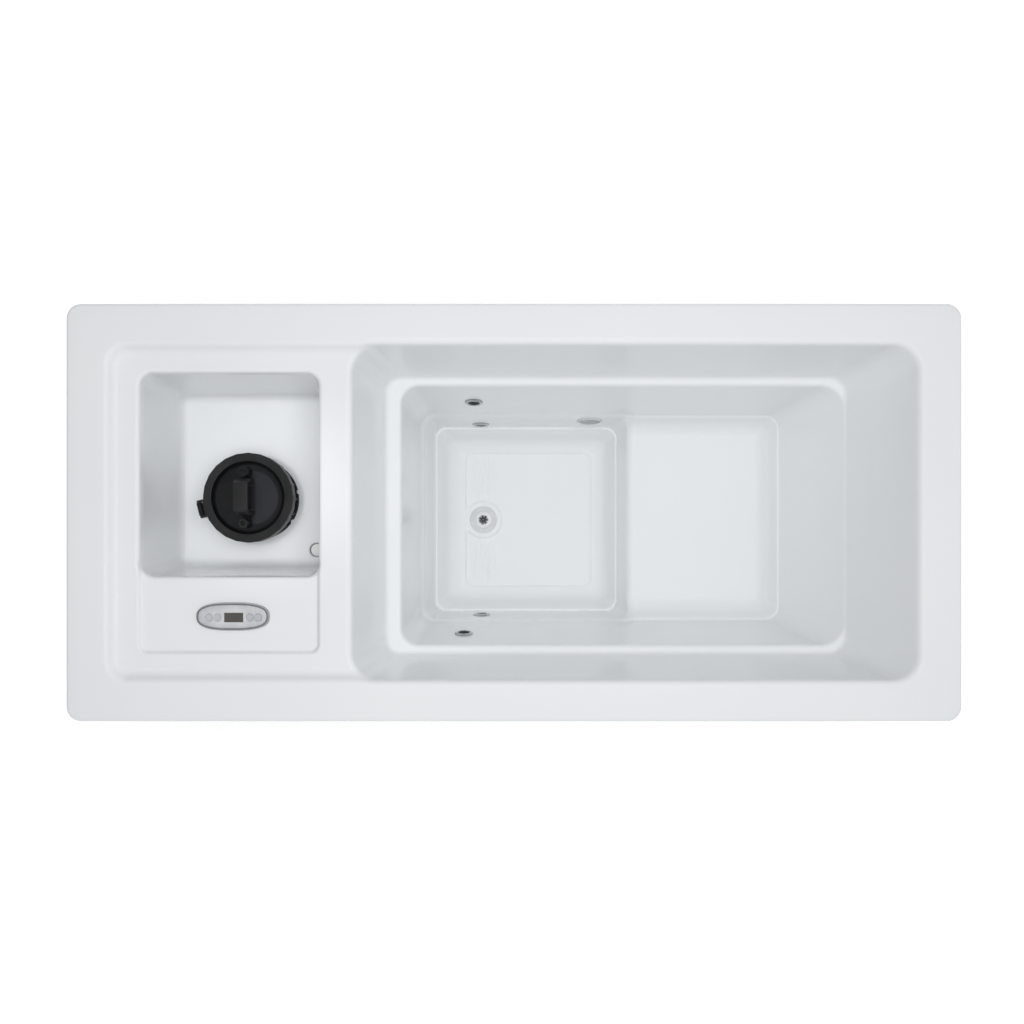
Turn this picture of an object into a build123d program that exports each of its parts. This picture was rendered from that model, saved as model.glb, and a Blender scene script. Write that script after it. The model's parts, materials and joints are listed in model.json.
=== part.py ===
from build123d import *
import math
import os

os.makedirs("parts", exist_ok=True)

# ---------------------------------------------------------------------------
# Cold plunge tub. Millimetres. X along the tub (-X is the deck and service end,
# +X the backrest end), Y across it, Z up. Origin: centre of the footprint, on the floor.
# ---------------------------------------------------------------------------

# driving dimensions: overall
LENGTH = 2100.0
WIDTH = 980.0
HEIGHT = 860.0
RIM_R = 35.0          # plan radius of the rim's corners
EDGE_R = 8.0          # rolled top edge of the rim
LIP = 58.0            # height of the down-turned lip
T = 8.0               # shell thickness

# basin: depth below the rim, x0, x1, y0, y1, plan corner radius
OPEN_X0, OPEN_X1, OPEN_Y = -388.0, 951.0, 394.5
LEDGE_D = 268.0
CREASE_D = 505.0
SEAT_D = 560.0
FOOT_D = 655.0
FLOOR_D = 742.0
UPPER = [(-2.0, -389.0, 952.0, -395.0, 395.0, 62.0),
         (LEDGE_D, -335.0, 840.0, -354.0, 354.0, 44.0)]
MIDDLE = [(LEDGE_D - 10.0, -298.0, 840.0, -334.6, 334.6, 42.0),
          (CREASE_D, -265.4, 717.6, -281.8, 281.8, 34.0)]
SEAT = [(CREASE_D - 2.0, -260.0, 716.0, -281.0, 281.0, 34.0),
        (SEAT_D, -252.0, 671.0, -246.0, 252.0, 28.0)]
FOOT = [(CREASE_D - 4.0, -265.4, 318.0, -281.9, 281.9, 34.0),
        (FOOT_D, -245.6, 276.8, -264.0, 264.0, 28.0),
        (FLOOR_D, -195.0, 231.5, -216.0, 216.0, 24.0)]

# deck recess, pocket and panel recess
DECK_D = 18.0
DECK = [(-2.0, -954.0, -300.0, -394.0, 394.0, 46.0),
        (DECK_D, -943.0, -310.0, -382.0, 382.0, 42.0)]
RECESS_D = 26.0
POCKET_X0, POCKET_X1, POCKET_Y0, POCKET_Y1 = -884.0, -461.0, -152.0, 330.0
POCKET_D = 280.0
POCKET = [(DECK_D - 2.0, POCKET_X0, POCKET_X1, POCKET_Y0, POCKET_Y1, 31.0),
          (POCKET_D, POCKET_X0 + 26, POCKET_X1 - 22, POCKET_Y0 + 24, POCKET_Y1 - 24, 26.0)]
PANEL_RECESS = (POCKET_X0, POCKET_X1, -330.0, -140.0, 20.0)
RAISED = (-162.5, 203.6, -195.0, 195.0, 24.0)   # raised mat panel of the footwell floor
RAISED_H = 4.5
DRAIN_X, DRAIN_Y = -111.3, 0.0
DRAIN_RELIEF_R = 54.0

# filter canister
CX, CY = -660.0, 41.0
FLOOR_Z = HEIGHT - POCKET_D            # pocket floor, 580
RING_TOP = 710.0
RING_R = 109.5

# control panel
PX, PY = -664.0, -245.0
PANEL_L, PANEL_W = 174.0, 68.0
RECESS_Z = HEIGHT - RECESS_D           # 834

# jets and wall fittings: x, depth, side (+1 back wall, -1 front wall)
JET_A = (-117.9, 394.0, 1)
JET_B = (-142.9, 374.0, -1)
RETURN_C = (-112.1, 620.0, 1)
SUCTION_D = (-107.8, 592.0, -1)
LIGHT_E = (195.0, 574.0, 1)
SLOPE_UP = (334.6 - 281.8) / (CREASE_D - (LEDGE_D - 10.0))
SLOPE_LOW = (281.9 - 264.0) / (FOOT_D - (CREASE_D - 4.0))

# cabinet and frame
PAN_T = 8.0
RAIL = 40.0            # base frame tube
POST = 30.0            # posts and top frame tube
PANEL_T = 8.0
FX, FY = 1030.0, 470.0     # outside of the frames
TOP_Z = HEIGHT - T         # underside of the rim plate, 852


def export(builder, name):
    builder.part.label = name
    export_step(builder.part, f"parts/{name}.step")


def section(depth, x0, x1, y0, y1, r):
    with BuildSketch(Plane.XY.offset(HEIGHT - depth)) as outline:
        with Locations(((x0 + x1) / 2, (y0 + y1) / 2)):
            RectangleRounded(x1 - x0, y1 - y0, r)
    return outline.sketch


def pit(levels, mode):
    # ruled transition through rounded rectangles, from the mouth down
    loft([section(*lv) for lv in levels], ruled=True, mode=mode)


def grown(levels, t):
    # the same pit, a wall thickness larger all round and deeper
    out = []
    for i, (d, x0, x1, y0, y1, r) in enumerate(levels):
        drop = 2.0 + t if i == 0 else t
        out.append((d + drop, x0 - t, x1 + t, y0 - t, y1 + t, r + t))
    return out


def wall_plane(spot, slope, y_top, d_top):
    # plane on the basin's side wall: origin on the wall face, +Z (local) out of the wall
    x, d, side = spot
    y = side * (y_top - slope * (d - d_top))
    n = Vector(0, -side * math.cos(math.atan(slope)), math.sin(math.atan(slope)))
    return Plane(origin=(x, y, HEIGHT - d), x_dir=(1, 0, 0), z_dir=n)


PL_A = wall_plane(JET_A, SLOPE_UP, 334.6, LEDGE_D - 10.0)
PL_B = wall_plane(JET_B, SLOPE_UP, 334.6, LEDGE_D - 10.0)
PL_C = wall_plane(RETURN_C, SLOPE_LOW, 281.9, CREASE_D - 4.0)
PL_D = wall_plane(SUCTION_D, SLOPE_LOW, 281.9, CREASE_D - 4.0)
PL_E = wall_plane(LIGHT_E, SLOPE_LOW, 281.9, CREASE_D - 4.0)
JET_HOLE_R, SMALL_HOLE_R, LIGHT_HOLE_R = 18.0, 17.0, 27.0
CAN_HOLE_R = 88.0
PLUG_X, PLUG_Y, PLUG_R = -515.0, -88.0, 20.0
DRAIN_HOLE_R = 24.5
BOX_L, BOX_W = 140.0, 44.0             # control panel's cut-out in the deck


# ---------------------------------------------------------------------------
# tub shell: rim with a down-turned lip, deck, pocket and the stepped basin
# ---------------------------------------------------------------------------
with BuildPart() as tub_shell:
    with BuildSketch(Plane.XY.offset(HEIGHT - LIP)):
        RectangleRounded(LENGTH, WIDTH, RIM_R)
    extrude(amount=LIP)
    fillet(tub_shell.edges().group_by(Axis.Z)[-1], EDGE_R)
    with BuildSketch(Plane.XY.offset(HEIGHT - LIP - 1)):
        RectangleRounded(LENGTH - 2 * T, WIDTH - 2 * T, RIM_R - T)
    extrude(amount=LIP + 1 - T, mode=Mode.SUBTRACT)
    # material under every hollow
    pit([(DECK_D + T, -951.0, -302.0, -390.0, 390.0, 50.0),
         (2.0, -962.0, -292.0, -402.0, 402.0, 54.0)], Mode.ADD)
    pit([(4.0, POCKET_X0 - T, POCKET_X1 + T, POCKET_Y0 - T, POCKET_Y1 + T, 39.0),
         (POCKET_D + T, POCKET_X0 + 26 - T, POCKET_X1 - 22 + T, POCKET_Y0 + 24 - T,
          POCKET_Y1 - 24 + T, 34.0)], Mode.ADD)
    with BuildSketch(Plane.XY.offset(HEIGHT - RECESS_D - T)):
        with Locations(((PANEL_RECESS[0] + PANEL_RECESS[1]) / 2,
                        (PANEL_RECESS[2] + PANEL_RECESS[3]) / 2)):
            RectangleRounded(PANEL_RECESS[1] - PANEL_RECESS[0] + 2 * T,
                             PANEL_RECESS[3] - PANEL_RECESS[2] + 2 * T, 28.0)
    extrude(amount=RECESS_D + T - 4)
    pit([(4.0, -397.0, 960.0, -403.0, 403.0, 70.0),
         (LEDGE_D + T, -343.0, 848.0, -362.0, 362.0, 52.0)], Mode.ADD)
    pit(grown(MIDDLE, T), Mode.ADD)
    pit(grown(SEAT, T), Mode.ADD)
    pit(grown(FOOT, T), Mode.ADD)
    # hollows
    pit(DECK, Mode.SUBTRACT)
    pit(POCKET, Mode.SUBTRACT)
    with BuildSketch(Plane.XY.offset(RECESS_Z)):
        with Locations(((PANEL_RECESS[0] + PANEL_RECESS[1]) / 2,
                        (PANEL_RECESS[2] + PANEL_RECESS[3]) / 2)):
            RectangleRounded(PANEL_RECESS[1] - PANEL_RECESS[0],
                             PANEL_RECESS[3] - PANEL_RECESS[2], PANEL_RECESS[4])
    extrude(amount=40, mode=Mode.SUBTRACT)
    pit(UPPER, Mode.SUBTRACT)
    pit(MIDDLE, Mode.SUBTRACT)
    pit(SEAT, Mode.SUBTRACT)
    pit(FOOT, Mode.SUBTRACT)
    # raised non-slip field of the footwell floor, relieved round the drain
    with BuildSketch(Plane.XY.offset(HEIGHT - FLOOR_D - 1)):
        with Locations(((RAISED[0] + RAISED[1]) / 2, (RAISED[2] + RAISED[3]) / 2)):
            RectangleRounded(RAISED[1] - RAISED[0], RAISED[3] - RAISED[2], RAISED[4])
        with Locations((DRAIN_X, DRAIN_Y)):
            Circle(DRAIN_RELIEF_R, mode=Mode.SUBTRACT)
    extrude(amount=RAISED_H + 1)
    # holes for everything that passes through the shell
    for pl, r in ((PL_A, JET_HOLE_R), (PL_B, JET_HOLE_R), (PL_C, SMALL_HOLE_R),
                  (PL_D, SMALL_HOLE_R), (PL_E, LIGHT_HOLE_R)):
        with BuildSketch(pl.offset(-20)):
            Circle(r)
        extrude(amount=40, mode=Mode.SUBTRACT)
    with BuildSketch(Plane.XY.offset(FLOOR_Z - 20)):
        with Locations((CX, CY)):
            Circle(CAN_HOLE_R)
        with Locations((PLUG_X, PLUG_Y)):
            Circle(PLUG_R)
    extrude(amount=30, mode=Mode.SUBTRACT)
    with BuildSketch(Plane.XY.offset(RECESS_Z - 20)):
        with Locations((PX, PY)):
            SlotOverall(BOX_L, BOX_W)
    extrude(amount=30, mode=Mode.SUBTRACT)
    with BuildSketch(Plane.XY.offset(HEIGHT - FLOOR_D - 20)):
        with Locations((DRAIN_X, DRAIN_Y)):
            Circle(DRAIN_HOLE_R)
    extrude(amount=30, mode=Mode.SUBTRACT)
# the moulding is divided at its creases into plain sections that meet face to face: deck,
# pocket walls and floor, both halves of the rim with the upper walls, both halves of the
# ledge with the middle walls, seat, and the footwell's upper walls, lower walls and floor
POCKET_X, POCKET_Y, POCKET_Z = (-930.0, -430.0), (-250.0, 400.0), (560.0, 600.0, 822.0)
SECTIONS = [(*POCKET_X, *POCKET_Y, POCKET_Z[1], POCKET_Z[2]),
            (*POCKET_X, *POCKET_Y, POCKET_Z[0], POCKET_Z[1]),
            (-429.0, 290.0, -550.0, 550.0, 600.0, 900.0), (290.0, 1100.0, -550.0, 550.0, 600.0, 900.0),
            (-429.0, 290.0, -550.0, 550.0, 362.0, 600.0), (290.0, 1100.0, -550.0, 550.0, 362.0, 600.0),
            (326.0, 1100.0, -550.0, 550.0, 0.0, 362.0),
            (-429.0, 326.0, -550.0, 550.0, 205.0, 362.0),
            (-429.0, 326.0, -550.0, 550.0, 130.0, 205.0),
            (-429.0, 326.0, -550.0, 550.0, 0.0, 130.0)]
shell_sections = []
with BuildPart() as deck_section:
    add(tub_shell.part)
    with Locations((-429.0 - 400.0, 0, 500.0)):
        Box(800.0, 1100.0, 1000.0, mode=Mode.INTERSECT)
    with Locations(((POCKET_X[0] + POCKET_X[1]) / 2, (POCKET_Y[0] + POCKET_Y[1]) / 2,
                    (POCKET_Z[0] + POCKET_Z[2]) / 2)):
        Box(POCKET_X[1] - POCKET_X[0], POCKET_Y[1] - POCKET_Y[0],
            POCKET_Z[2] - POCKET_Z[0], mode=Mode.SUBTRACT)
shell_sections += deck_section.part.solids()
for x0, x1, y0, y1, z0, z1 in SECTIONS:
    with BuildPart() as section_part:
        add(tub_shell.part)
        with Locations(((x0 + x1) / 2, (y0 + y1) / 2, (z0 + z1) / 2)):
            Box(x1 - x0, y1 - y0, z1 - z0, mode=Mode.INTERSECT)
    shell_sections += section_part.part.solids()
shell = Compound(label="tub_shell", children=shell_sections)
export_step(shell, "parts/tub_shell.step")
print("tub_shell", tub_shell.part.volume, sum(s.volume for s in shell_sections),
      len(shell_sections), all(s.is_valid for s in shell_sections))
for s in shell_sections:
    b = s.bounding_box()
    print("  section", round(s.volume), [round(v) for v in (*b.min, *b.max)])


# ---------------------------------------------------------------------------
# base, timber frame and the blocks that carry the shell
# ---------------------------------------------------------------------------
CROSS_X = (-410.0, -130.0, 170.0, 420.0, 620.0)
POST_XY = [(sx * (FX - POST / 2), sy * (FY - POST / 2)) for sx in (-1, 1) for sy in (-1, 1)]
POST_XY += [(x, sy * (FY - POST / 2)) for x in (-410.0, 170.0, 620.0) for sy in (-1, 1)]
POST_XY += [(FX - POST / 2, 0.0)]
RAIL_TOP = PAN_T + RAIL

with BuildPart() as base_pan:
    with BuildSketch():
        RectangleRounded(LENGTH - 16, WIDTH - 16, 24)
    extrude(amount=PAN_T)
    fillet(base_pan.edges().group_by(Axis.Z)[-1], 1.5)
export(base_pan, "base_pan")

with BuildPart() as base_frame:
    # separate timbers: two long rails, two end rails and the cross members between them
    with BuildSketch(Plane.XY.offset(PAN_T)):
        with Locations((0, FY - RAIL / 2), (0, -FY + RAIL / 2)):
            Rectangle(2 * FX, RAIL)
        with Locations(*[(x, 0) for x in CROSS_X + (FX - RAIL / 2, -FX + RAIL / 2)]):
            Rectangle(RAIL, 2 * FY - 2 * RAIL - 1)
    extrude(amount=RAIL)
    with BuildSketch(Plane.XY.offset(PAN_T)):
        with Locations(*POST_XY):
            Circle(4.0)
    extrude(amount=RAIL, mode=Mode.SUBTRACT)
    with BuildSketch(Plane.XY.offset(PAN_T)):
        with Locations(*POST_XY):
            Circle(7.5)
    extrude(amount=6, mode=Mode.SUBTRACT)
export(base_frame, "base_frame")

with BuildPart() as frame_posts:
    with BuildSketch(Plane.XY.offset(RAIL_TOP)):
        with Locations(*POST_XY):
            Rectangle(POST, POST)
    extrude(amount=TOP_Z - POST - RAIL_TOP)
    with BuildSketch(Plane.XY.offset(RAIL_TOP)):
        with Locations(*POST_XY):
            Circle(4.0)
    extrude(amount=45, mode=Mode.SUBTRACT)
export(frame_posts, "frame_posts")

with BuildPart() as frame_bolts:
    with BuildSketch(Plane.XY.offset(PAN_T + 0.5)):
        with Locations(*POST_XY):
            RegularPolygon(7.0, 6)
    extrude(amount=5.5)
    with BuildSketch(Plane.XY.offset(PAN_T + 6)):
        with Locations(*POST_XY):
            Circle(4.0)
    extrude(amount=RAIL - 6 + 44)
export(frame_bolts, "frame_bolts")

with BuildPart() as top_frame:
    with BuildSketch(Plane.XY.offset(TOP_Z - POST)):
        with Locations((0, FY - POST / 2), (0, -FY + POST / 2)):
            Rectangle(2 * FX, POST)
        with Locations((FX - POST / 2, 0), (-FX + POST / 2, 0)):
            Rectangle(POST, 2 * FY - 2 * POST - 1)
    extrude(amount=POST)
export(top_frame, "top_frame")

FOOT_UNDER = HEIGHT - FLOOR_D - T      # 110
SEAT_UNDER = HEIGHT - SEAT_D - T       # 292
with BuildPart() as shell_cradles:
    with BuildSketch(Plane.XY.offset(RAIL_TOP)):
        with Locations((18, 0)):
            Rectangle(376, 380)
        with Locations((-120, 0)):
            Rectangle(130, 100, mode=Mode.SUBTRACT)
    extrude(amount=FOOT_UNDER - RAIL_TOP)
    with BuildSketch(Plane.XY.offset(RAIL_TOP)):
        with Locations((409, 0), (631, 0)):
            Rectangle(18, 360)
        with Locations((520, 171), (520, -171)):
            Rectangle(203, 18)
    extrude(amount=SEAT_UNDER - RAIL_TOP)
export(shell_cradles, "shell_cradles")

# ---------------------------------------------------------------------------
# cabinet: grooved boards, corner trims, service end with its door, vents
# ---------------------------------------------------------------------------
OUT_X, OUT_Y = FX + PANEL_T, FY + PANEL_T          # 1038, 478
PANEL_Z0, PANEL_Z1 = PAN_T, 838.0
GROOVES = [PANEL_Z0 + 138.0 * i for i in range(1, 6)]
GRILLE_X, GRILLE_Z, GRILLE_W, GRILLE_H = -815.0, 265.0, 200.0, 200.0
SCREW_Z = (40.0, 775.0)
SCREW_X = (-950.0, -480.0, 0.0, 480.0, 950.0)
SCREW_Y = (-400.0, 400.0)

for side, name in ((-1, "front_panel"), (1, "rear_panel")):
    with BuildPart() as long_panel:
        with Locations((0, side * (FY + PANEL_T / 2), (PANEL_Z0 + PANEL_Z1) / 2)):
            Box(2 * OUT_X, PANEL_T, PANEL_Z1 - PANEL_Z0)
        with Locations(*[(0, side * OUT_Y, z) for z in GROOVES]):
            Box(2 * OUT_X, 5, 5, mode=Mode.SUBTRACT)
        with Locations((GRILLE_X, side * FY, GRILLE_Z)):
            Box(GRILLE_W, 40, GRILLE_H, mode=Mode.SUBTRACT)
        with Locations(*[Location((x, side * FY, z), (90, 0, 0))
                         for x in SCREW_X for z in SCREW_Z]):
            Cylinder(2.5, 40, mode=Mode.SUBTRACT)
        # clear of the rounded corners inside the lip
        with Locations((-OUT_X, side * FY, PANEL_Z1), (OUT_X, side * FY, PANEL_Z1)):
            Box(28, 60, 80, mode=Mode.SUBTRACT)
    export(long_panel, name)

with BuildPart() as head_end_panel:
    with Locations((FX + PANEL_T / 2, 0, (PANEL_Z0 + PANEL_Z1) / 2)):
        Box(PANEL_T, 2 * FY, PANEL_Z1 - PANEL_Z0)
    with Locations(*[(OUT_X, 0, z) for z in GROOVES]):
        Box(5, 2 * FY, 5, mode=Mode.SUBTRACT)
    with Locations(*[Location((FX, y, z), (0, 90, 0)) for y in SCREW_Y for z in SCREW_Z]):
        Cylinder(2.5, 40, mode=Mode.SUBTRACT)
    with Locations((FX, -FY, PANEL_Z1), (FX, FY, PANEL_Z1)):
        Box(60, 12, 80, mode=Mode.SUBTRACT)
export(head_end_panel, "head_end_panel")

DOOR_Y, DOOR_Z0, DOOR_Z1 = 330.0, 150.0, 700.0
DOOR_GAP = 2.5
DRAIN_LINE_Z = 76.0
with BuildPart() as service_end_panel:
    with Locations((-FX - PANEL_T / 2, 0, (PANEL_Z0 + PANEL_Z1) / 2)):
        Box(PANEL_T, 2 * FY, PANEL_Z1 - PANEL_Z0)
    with Locations(*[(-OUT_X, 0, z) for z in GROOVES]):
        Box(5, 2 * FY, 5, mode=Mode.SUBTRACT)
    with Locations((-FX, 0, (DOOR_Z0 + DOOR_Z1) / 2)):
        Box(60, 2 * (DOOR_Y + DOOR_GAP), DOOR_Z1 - DOOR_Z0 + 2 * DOOR_GAP, mode=Mode.SUBTRACT)
    # jointed from four boards: hairline joints above and below the door
    with Locations((-FX, 0, DOOR_Z0 - DOOR_GAP), (-FX, 0, DOOR_Z1 + DOOR_GAP)):
        Box(60, 2 * FY + 10, 0.4, mode=Mode.SUBTRACT)
    with Locations(Location((-FX, 0, DRAIN_LINE_Z), (0, 90, 0))):
        Cylinder(22.0, 60, mode=Mode.SUBTRACT)
    with Locations(*[Location((-FX, y, z), (0, 90, 0)) for y in SCREW_Y for z in SCREW_Z]):
        Cylinder(2.5, 40, mode=Mode.SUBTRACT)
    with Locations((-FX, -FY, PANEL_Z1), (-FX, FY, PANEL_Z1)):
        Box(60, 12, 80, mode=Mode.SUBTRACT)
export(service_end_panel, "service_end_panel")

with BuildPart() as corner_trims:
    for sx in (-1, 1):
        for sy in (-1, 1):
            with BuildSketch(Plane.XY.offset(PAN_T)):
                with Locations((sx * (OUT_X + 4 - 24), sy * (OUT_Y + 4 - 24))):
                    RectangleRounded(48, 48, 9)
                with Locations((sx * (OUT_X - 60), sy * (OUT_Y - 60))):
                    Rectangle(120, 120, mode=Mode.SUBTRACT)
            extrude(amount=HEIGHT - LIP - 4 - PAN_T)
export(corner_trims, "corner_trims")

with BuildPart() as panel_screws:
    for side in (-1, 1):
        with Locations(*[Location((x, side * (OUT_Y + 0.9), z), (90, 0, 0))
                         for x in SCREW_X for z in SCREW_Z]):
            Cylinder(5.0, 1.8)
        with Locations(*[Location((x, side * (FY + 4), z), (90, 0, 0))
                         for x in SCREW_X for z in SCREW_Z]):
            Cylinder(2.5, 8)
        with Locations(*[Location((side * (OUT_X + 0.9), y, z), (0, 90, 0))
                         for y in SCREW_Y for z in SCREW_Z]):
            Cylinder(5.0, 1.8)
        with Locations(*[Location((side * (FX + 4), y, z), (0, 90, 0))
                         for y in SCREW_Y for z in SCREW_Z]):
            Cylinder(2.5, 8)
export(panel_screws, "panel_screws")

LATCH_Y, LATCH_Z = -300.0, 425.0
with BuildPart() as service_door:
    with Locations((-FX - PANEL_T / 2, 0, (DOOR_Z0 + DOOR_Z1) / 2)):
        Box(PANEL_T, 2 * DOOR_Y, DOOR_Z1 - DOOR_Z0)
    with Locations(*[(-OUT_X, 0, z) for z in GROOVES]):
        Box(5, 2 * FY, 5, mode=Mode.SUBTRACT)
    with Locations(Location((-FX, LATCH_Y, LATCH_Z), (0, 90, 0))):
        Cylinder(8.05, 60, mode=Mode.SUBTRACT)
export(service_door, "service_door")

with BuildPart() as door_latch:
    with Locations(Location((-OUT_X - 3.2, LATCH_Y, LATCH_Z), (0, 90, 0))):
        Cylinder(18.0, 5.4)
    with Locations((-OUT_X - 7.2, LATCH_Y, LATCH_Z)):
        Box(3.6, 6, 30)
    with Locations(Location((-FX - 3.5, LATCH_Y, LATCH_Z), (0, 90, 0))):
        Cylinder(8.0, 14)
    with Locations((-FX + 3.5, LATCH_Y, LATCH_Z + 22)):
        Box(5, 18, 62)
export(door_latch, "door_latch")

HINGE_X, HINGE_Y = -OUT_X - 5.3, 338.0
HINGE_Z = (230.0, 600.0)
with BuildPart() as door_hinges:
    for z in HINGE_Z:
        with Locations((HINGE_X, HINGE_Y, z - 15.15), (HINGE_X, HINGE_Y, z + 15.15)):
            Cylinder(5.0, 14.7)
        with Locations((HINGE_X, HINGE_Y, z)):
            Cylinder(2.5, 45)
        with Locations((-OUT_X - 1.5, HINGE_Y + 18, z - 15.15), (-OUT_X - 1.5, HINGE_Y + 18, z + 15.15)):
            Box(3, 36, 14.7)
        with Locations((-OUT_X - 1.5, HINGE_Y + 23, z)):
            Box(3, 26, 45)
export(door_hinges, "door_hinges")

with BuildPart() as door_leaves:
    for z in HINGE_Z:
        with Locations((HINGE_X, HINGE_Y, z)):
            Cylinder(5.0, 15)
        with Locations((-OUT_X - 1.5, HINGE_Y - 18, z)):
            Box(3, 36, 15)
        with Locations((-OUT_X - 1.5, HINGE_Y - 23, z)):
            Box(3, 26, 45)
        with Locations((HINGE_X, HINGE_Y, z)):
            Cylinder(2.55, 60, mode=Mode.SUBTRACT)
export(door_leaves, "door_leaves")

with BuildPart() as vent_grilles:
    for side in (-1, 1):
        with Locations((GRILLE_X, side * (OUT_Y + 1.5), GRILLE_Z)):
            Box(GRILLE_W + 24, 3, GRILLE_H + 24)
        with Locations((GRILLE_X, side * (FY + PANEL_T / 2), GRILLE_Z)):
            Box(GRILLE_W, PANEL_T, GRILLE_H)
        with Locations((GRILLE_X, side * FY, GRILLE_Z)):
            Box(GRILLE_W - 16, 60, GRILLE_H - 16, mode=Mode.SUBTRACT)
    for side in (-1, 1):
        with Locations(*[Location((GRILLE_X, side * (FY + 5.5), GRILLE_Z - 80 + 20 * i),
                                  (side * 35, 0, 0)) for i in range(9)]):
            Box(GRILLE_W - 14, 11, 2.5)
export(vent_grilles, "vent_grilles")

# ---------------------------------------------------------------------------
# filter canister in the pocket
# ---------------------------------------------------------------------------
NECK_TOP = 690.0
AXIS = Axis((CX, CY, 0), (0, 0, 1))


def turned(points):
    # closed profile of (radius, height) points, for turning about the canister's axis
    with BuildSketch(Plane(origin=(CX, CY, 0), x_dir=(1, 0, 0), z_dir=(0, -1, 0))) as prof:
        with BuildLine():
            Polyline(*points, close=True)
        make_face()
    return prof.sketch


with BuildPart() as filter_housing:
    with BuildSketch(Plane(origin=(CX, CY, 0), x_dir=(1, 0, 0), z_dir=(0, -1, 0))):
        with BuildLine():
            Polyline((0, 250), (76, 250), (86, 262), (86, 552), (88, 554), (88, 580),
                     (101, 580), (101, 590), (93, 592), (93, 600), (91, 602), (91, 640),
                     (95.5, 643), (95.5, 647), (91, 650), (91, 655), (95.5, 658), (95.5, 662),
                     (92, 665), (92, NECK_TOP), (80, NECK_TOP), (80, 268), (70, 258), (0, 258),
                     close=True)
        make_face()
    revolve(axis=AXIS)
    # ribs under the ring and on the flange
    with BuildSketch(Plane.XY.offset(590)):
        with Locations((CX, CY)):
            with PolarLocations(93.0, 16):
                Rectangle(12, 6)
    extrude(amount=44)
    with BuildSketch(Plane.XY.offset(579)):
        with Locations((CX, CY)):
            with PolarLocations(104, 8, start_angle=11.25):
                Circle(7)
    extrude(amount=12, mode=Mode.SUBTRACT)
    # ports below the pocket
    with BuildSketch(Plane(origin=(CX, CY - 81, 290), x_dir=(1, 0, 0), z_dir=(0, -1, 0))):
        Circle(24)
    extrude(amount=40)
    with BuildSketch(Plane(origin=(CX, CY - 70, 290), x_dir=(1, 0, 0), z_dir=(0, -1, 0))):
        Circle(17)
    extrude(amount=60, mode=Mode.SUBTRACT)
    with BuildSketch(Plane(origin=(CX - 81, CY, 500), x_dir=(0, 1, 0), z_dir=(-1, 0, 0))):
        Circle(24)
    extrude(amount=40)
    with BuildSketch(Plane(origin=(CX - 70, CY, 500), x_dir=(0, 1, 0), z_dir=(-1, 0, 0))):
        Circle(17)
    extrude(amount=60, mode=Mode.SUBTRACT)
export(filter_housing, "filter_housing")

BLEED_Y, PORT_Y = CY + 62.0, CY - 64.0
with BuildPart() as filter_lid:
    with BuildSketch(Plane(origin=(CX, CY, 0), x_dir=(1, 0, 0), z_dir=(0, -1, 0))):
        with BuildLine():
            Polyline((0, 709), (76, 708), (84, 704), (89.8, 698), (96, 698), (96, 690.4),
                     (79.6, 690.4), (79.6, 682.3), (75, 682.3), (75, 677), (79.6, 677),
                     (79.6, 670), (66, 670), (66, 696), (0, 698), close=True)
        make_face()
    revolve(axis=AXIS)
    with BuildSketch(Plane.XY.offset(704)):
        with Locations((CX, BLEED_Y)):
            Circle(11.5)
    extrude(amount=40)
    with BuildSketch(Plane.XY.offset(704)):
        with Locations((CX, PORT_Y)):
            Circle(11.5)
    extrude(amount=36)
    # webs between the bosses and the handle's feet
    with Locations((CX, CY + 50, 714), (CX, CY - 52, 714)):
        Box(16, 20, 22)
    with BuildSketch(Plane.XY.offset(732)):
        with Locations((CX, BLEED_Y)):
            Circle(4.05)
    extrude(amount=20, mode=Mode.SUBTRACT)
export(filter_lid, "filter_lid")

HANDLE_TOP, HANDLE_W = 785.0, 35.0
with BuildPart() as lid_handle:
    with BuildSketch(Plane(origin=(CX - HANDLE_W / 2, CY, 0), x_dir=(0, 1, 0), z_dir=(1, 0, 0))):
        with BuildLine():
            FilletPolyline((-38, 709), (-46, 750), (-34, HANDLE_TOP), (34, HANDLE_TOP),
                           (46, 750), (38, 709), (31, 709), (38.5, 749), (29.5, HANDLE_TOP - 7),
                           (-29.5, HANDLE_TOP - 7), (-38.5, 749), (-31, 709),
                           radius=[0, 14, 12, 12, 14, 0, 0, 9, 7, 7, 9, 0], close=True)
        make_face()
    extrude(amount=HANDLE_W)
    with Locations((CX, CY + 34.5, 711.5), (CX, CY - 34.5, 711.5)):
        Box(HANDLE_W, 13, 5)
    with Locations((CX, CY, 0)):
        Cylinder(91, 709.0, align=(Align.CENTER, Align.CENTER, Align.MIN), mode=Mode.SUBTRACT)
    with Locations((CX, CY + 50, 714), (CX, CY - 52, 714)):
        Box(16, 20, 22, mode=Mode.SUBTRACT)
export(lid_handle, "lid_handle")

with BuildPart() as lid_o_ring:
    with Locations((CX, CY, 679.65)):
        Torus(77.35, 2.3)
export(lid_o_ring, "lid_o_ring")

with BuildPart() as air_bleed_knob:
    with BuildSketch(Plane.XY.offset(744.4)):
        with Locations((CX, BLEED_Y)):
            Circle(13.5)
    extrude(amount=12.6)
    fillet(air_bleed_knob.edges().group_by(Axis.Z)[-1], 2.5)
    with BuildSketch(Plane.XY.offset(740)):
        with Locations((CX, BLEED_Y)):
            with PolarLocations(14.6, 8):
                Circle(2.4)
    extrude(amount=30, mode=Mode.SUBTRACT)
    with BuildSketch(Plane.XY.offset(757)):
        with Locations((CX, BLEED_Y)):
            Rectangle(17, 4)
    extrude(amount=-4, mode=Mode.SUBTRACT)
    with BuildSketch(Plane.XY.offset(733)):
        with Locations((CX, BLEED_Y)):
            Circle(4.0)
    extrude(amount=12)
export(air_bleed_knob, "air_bleed_knob")

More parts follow.
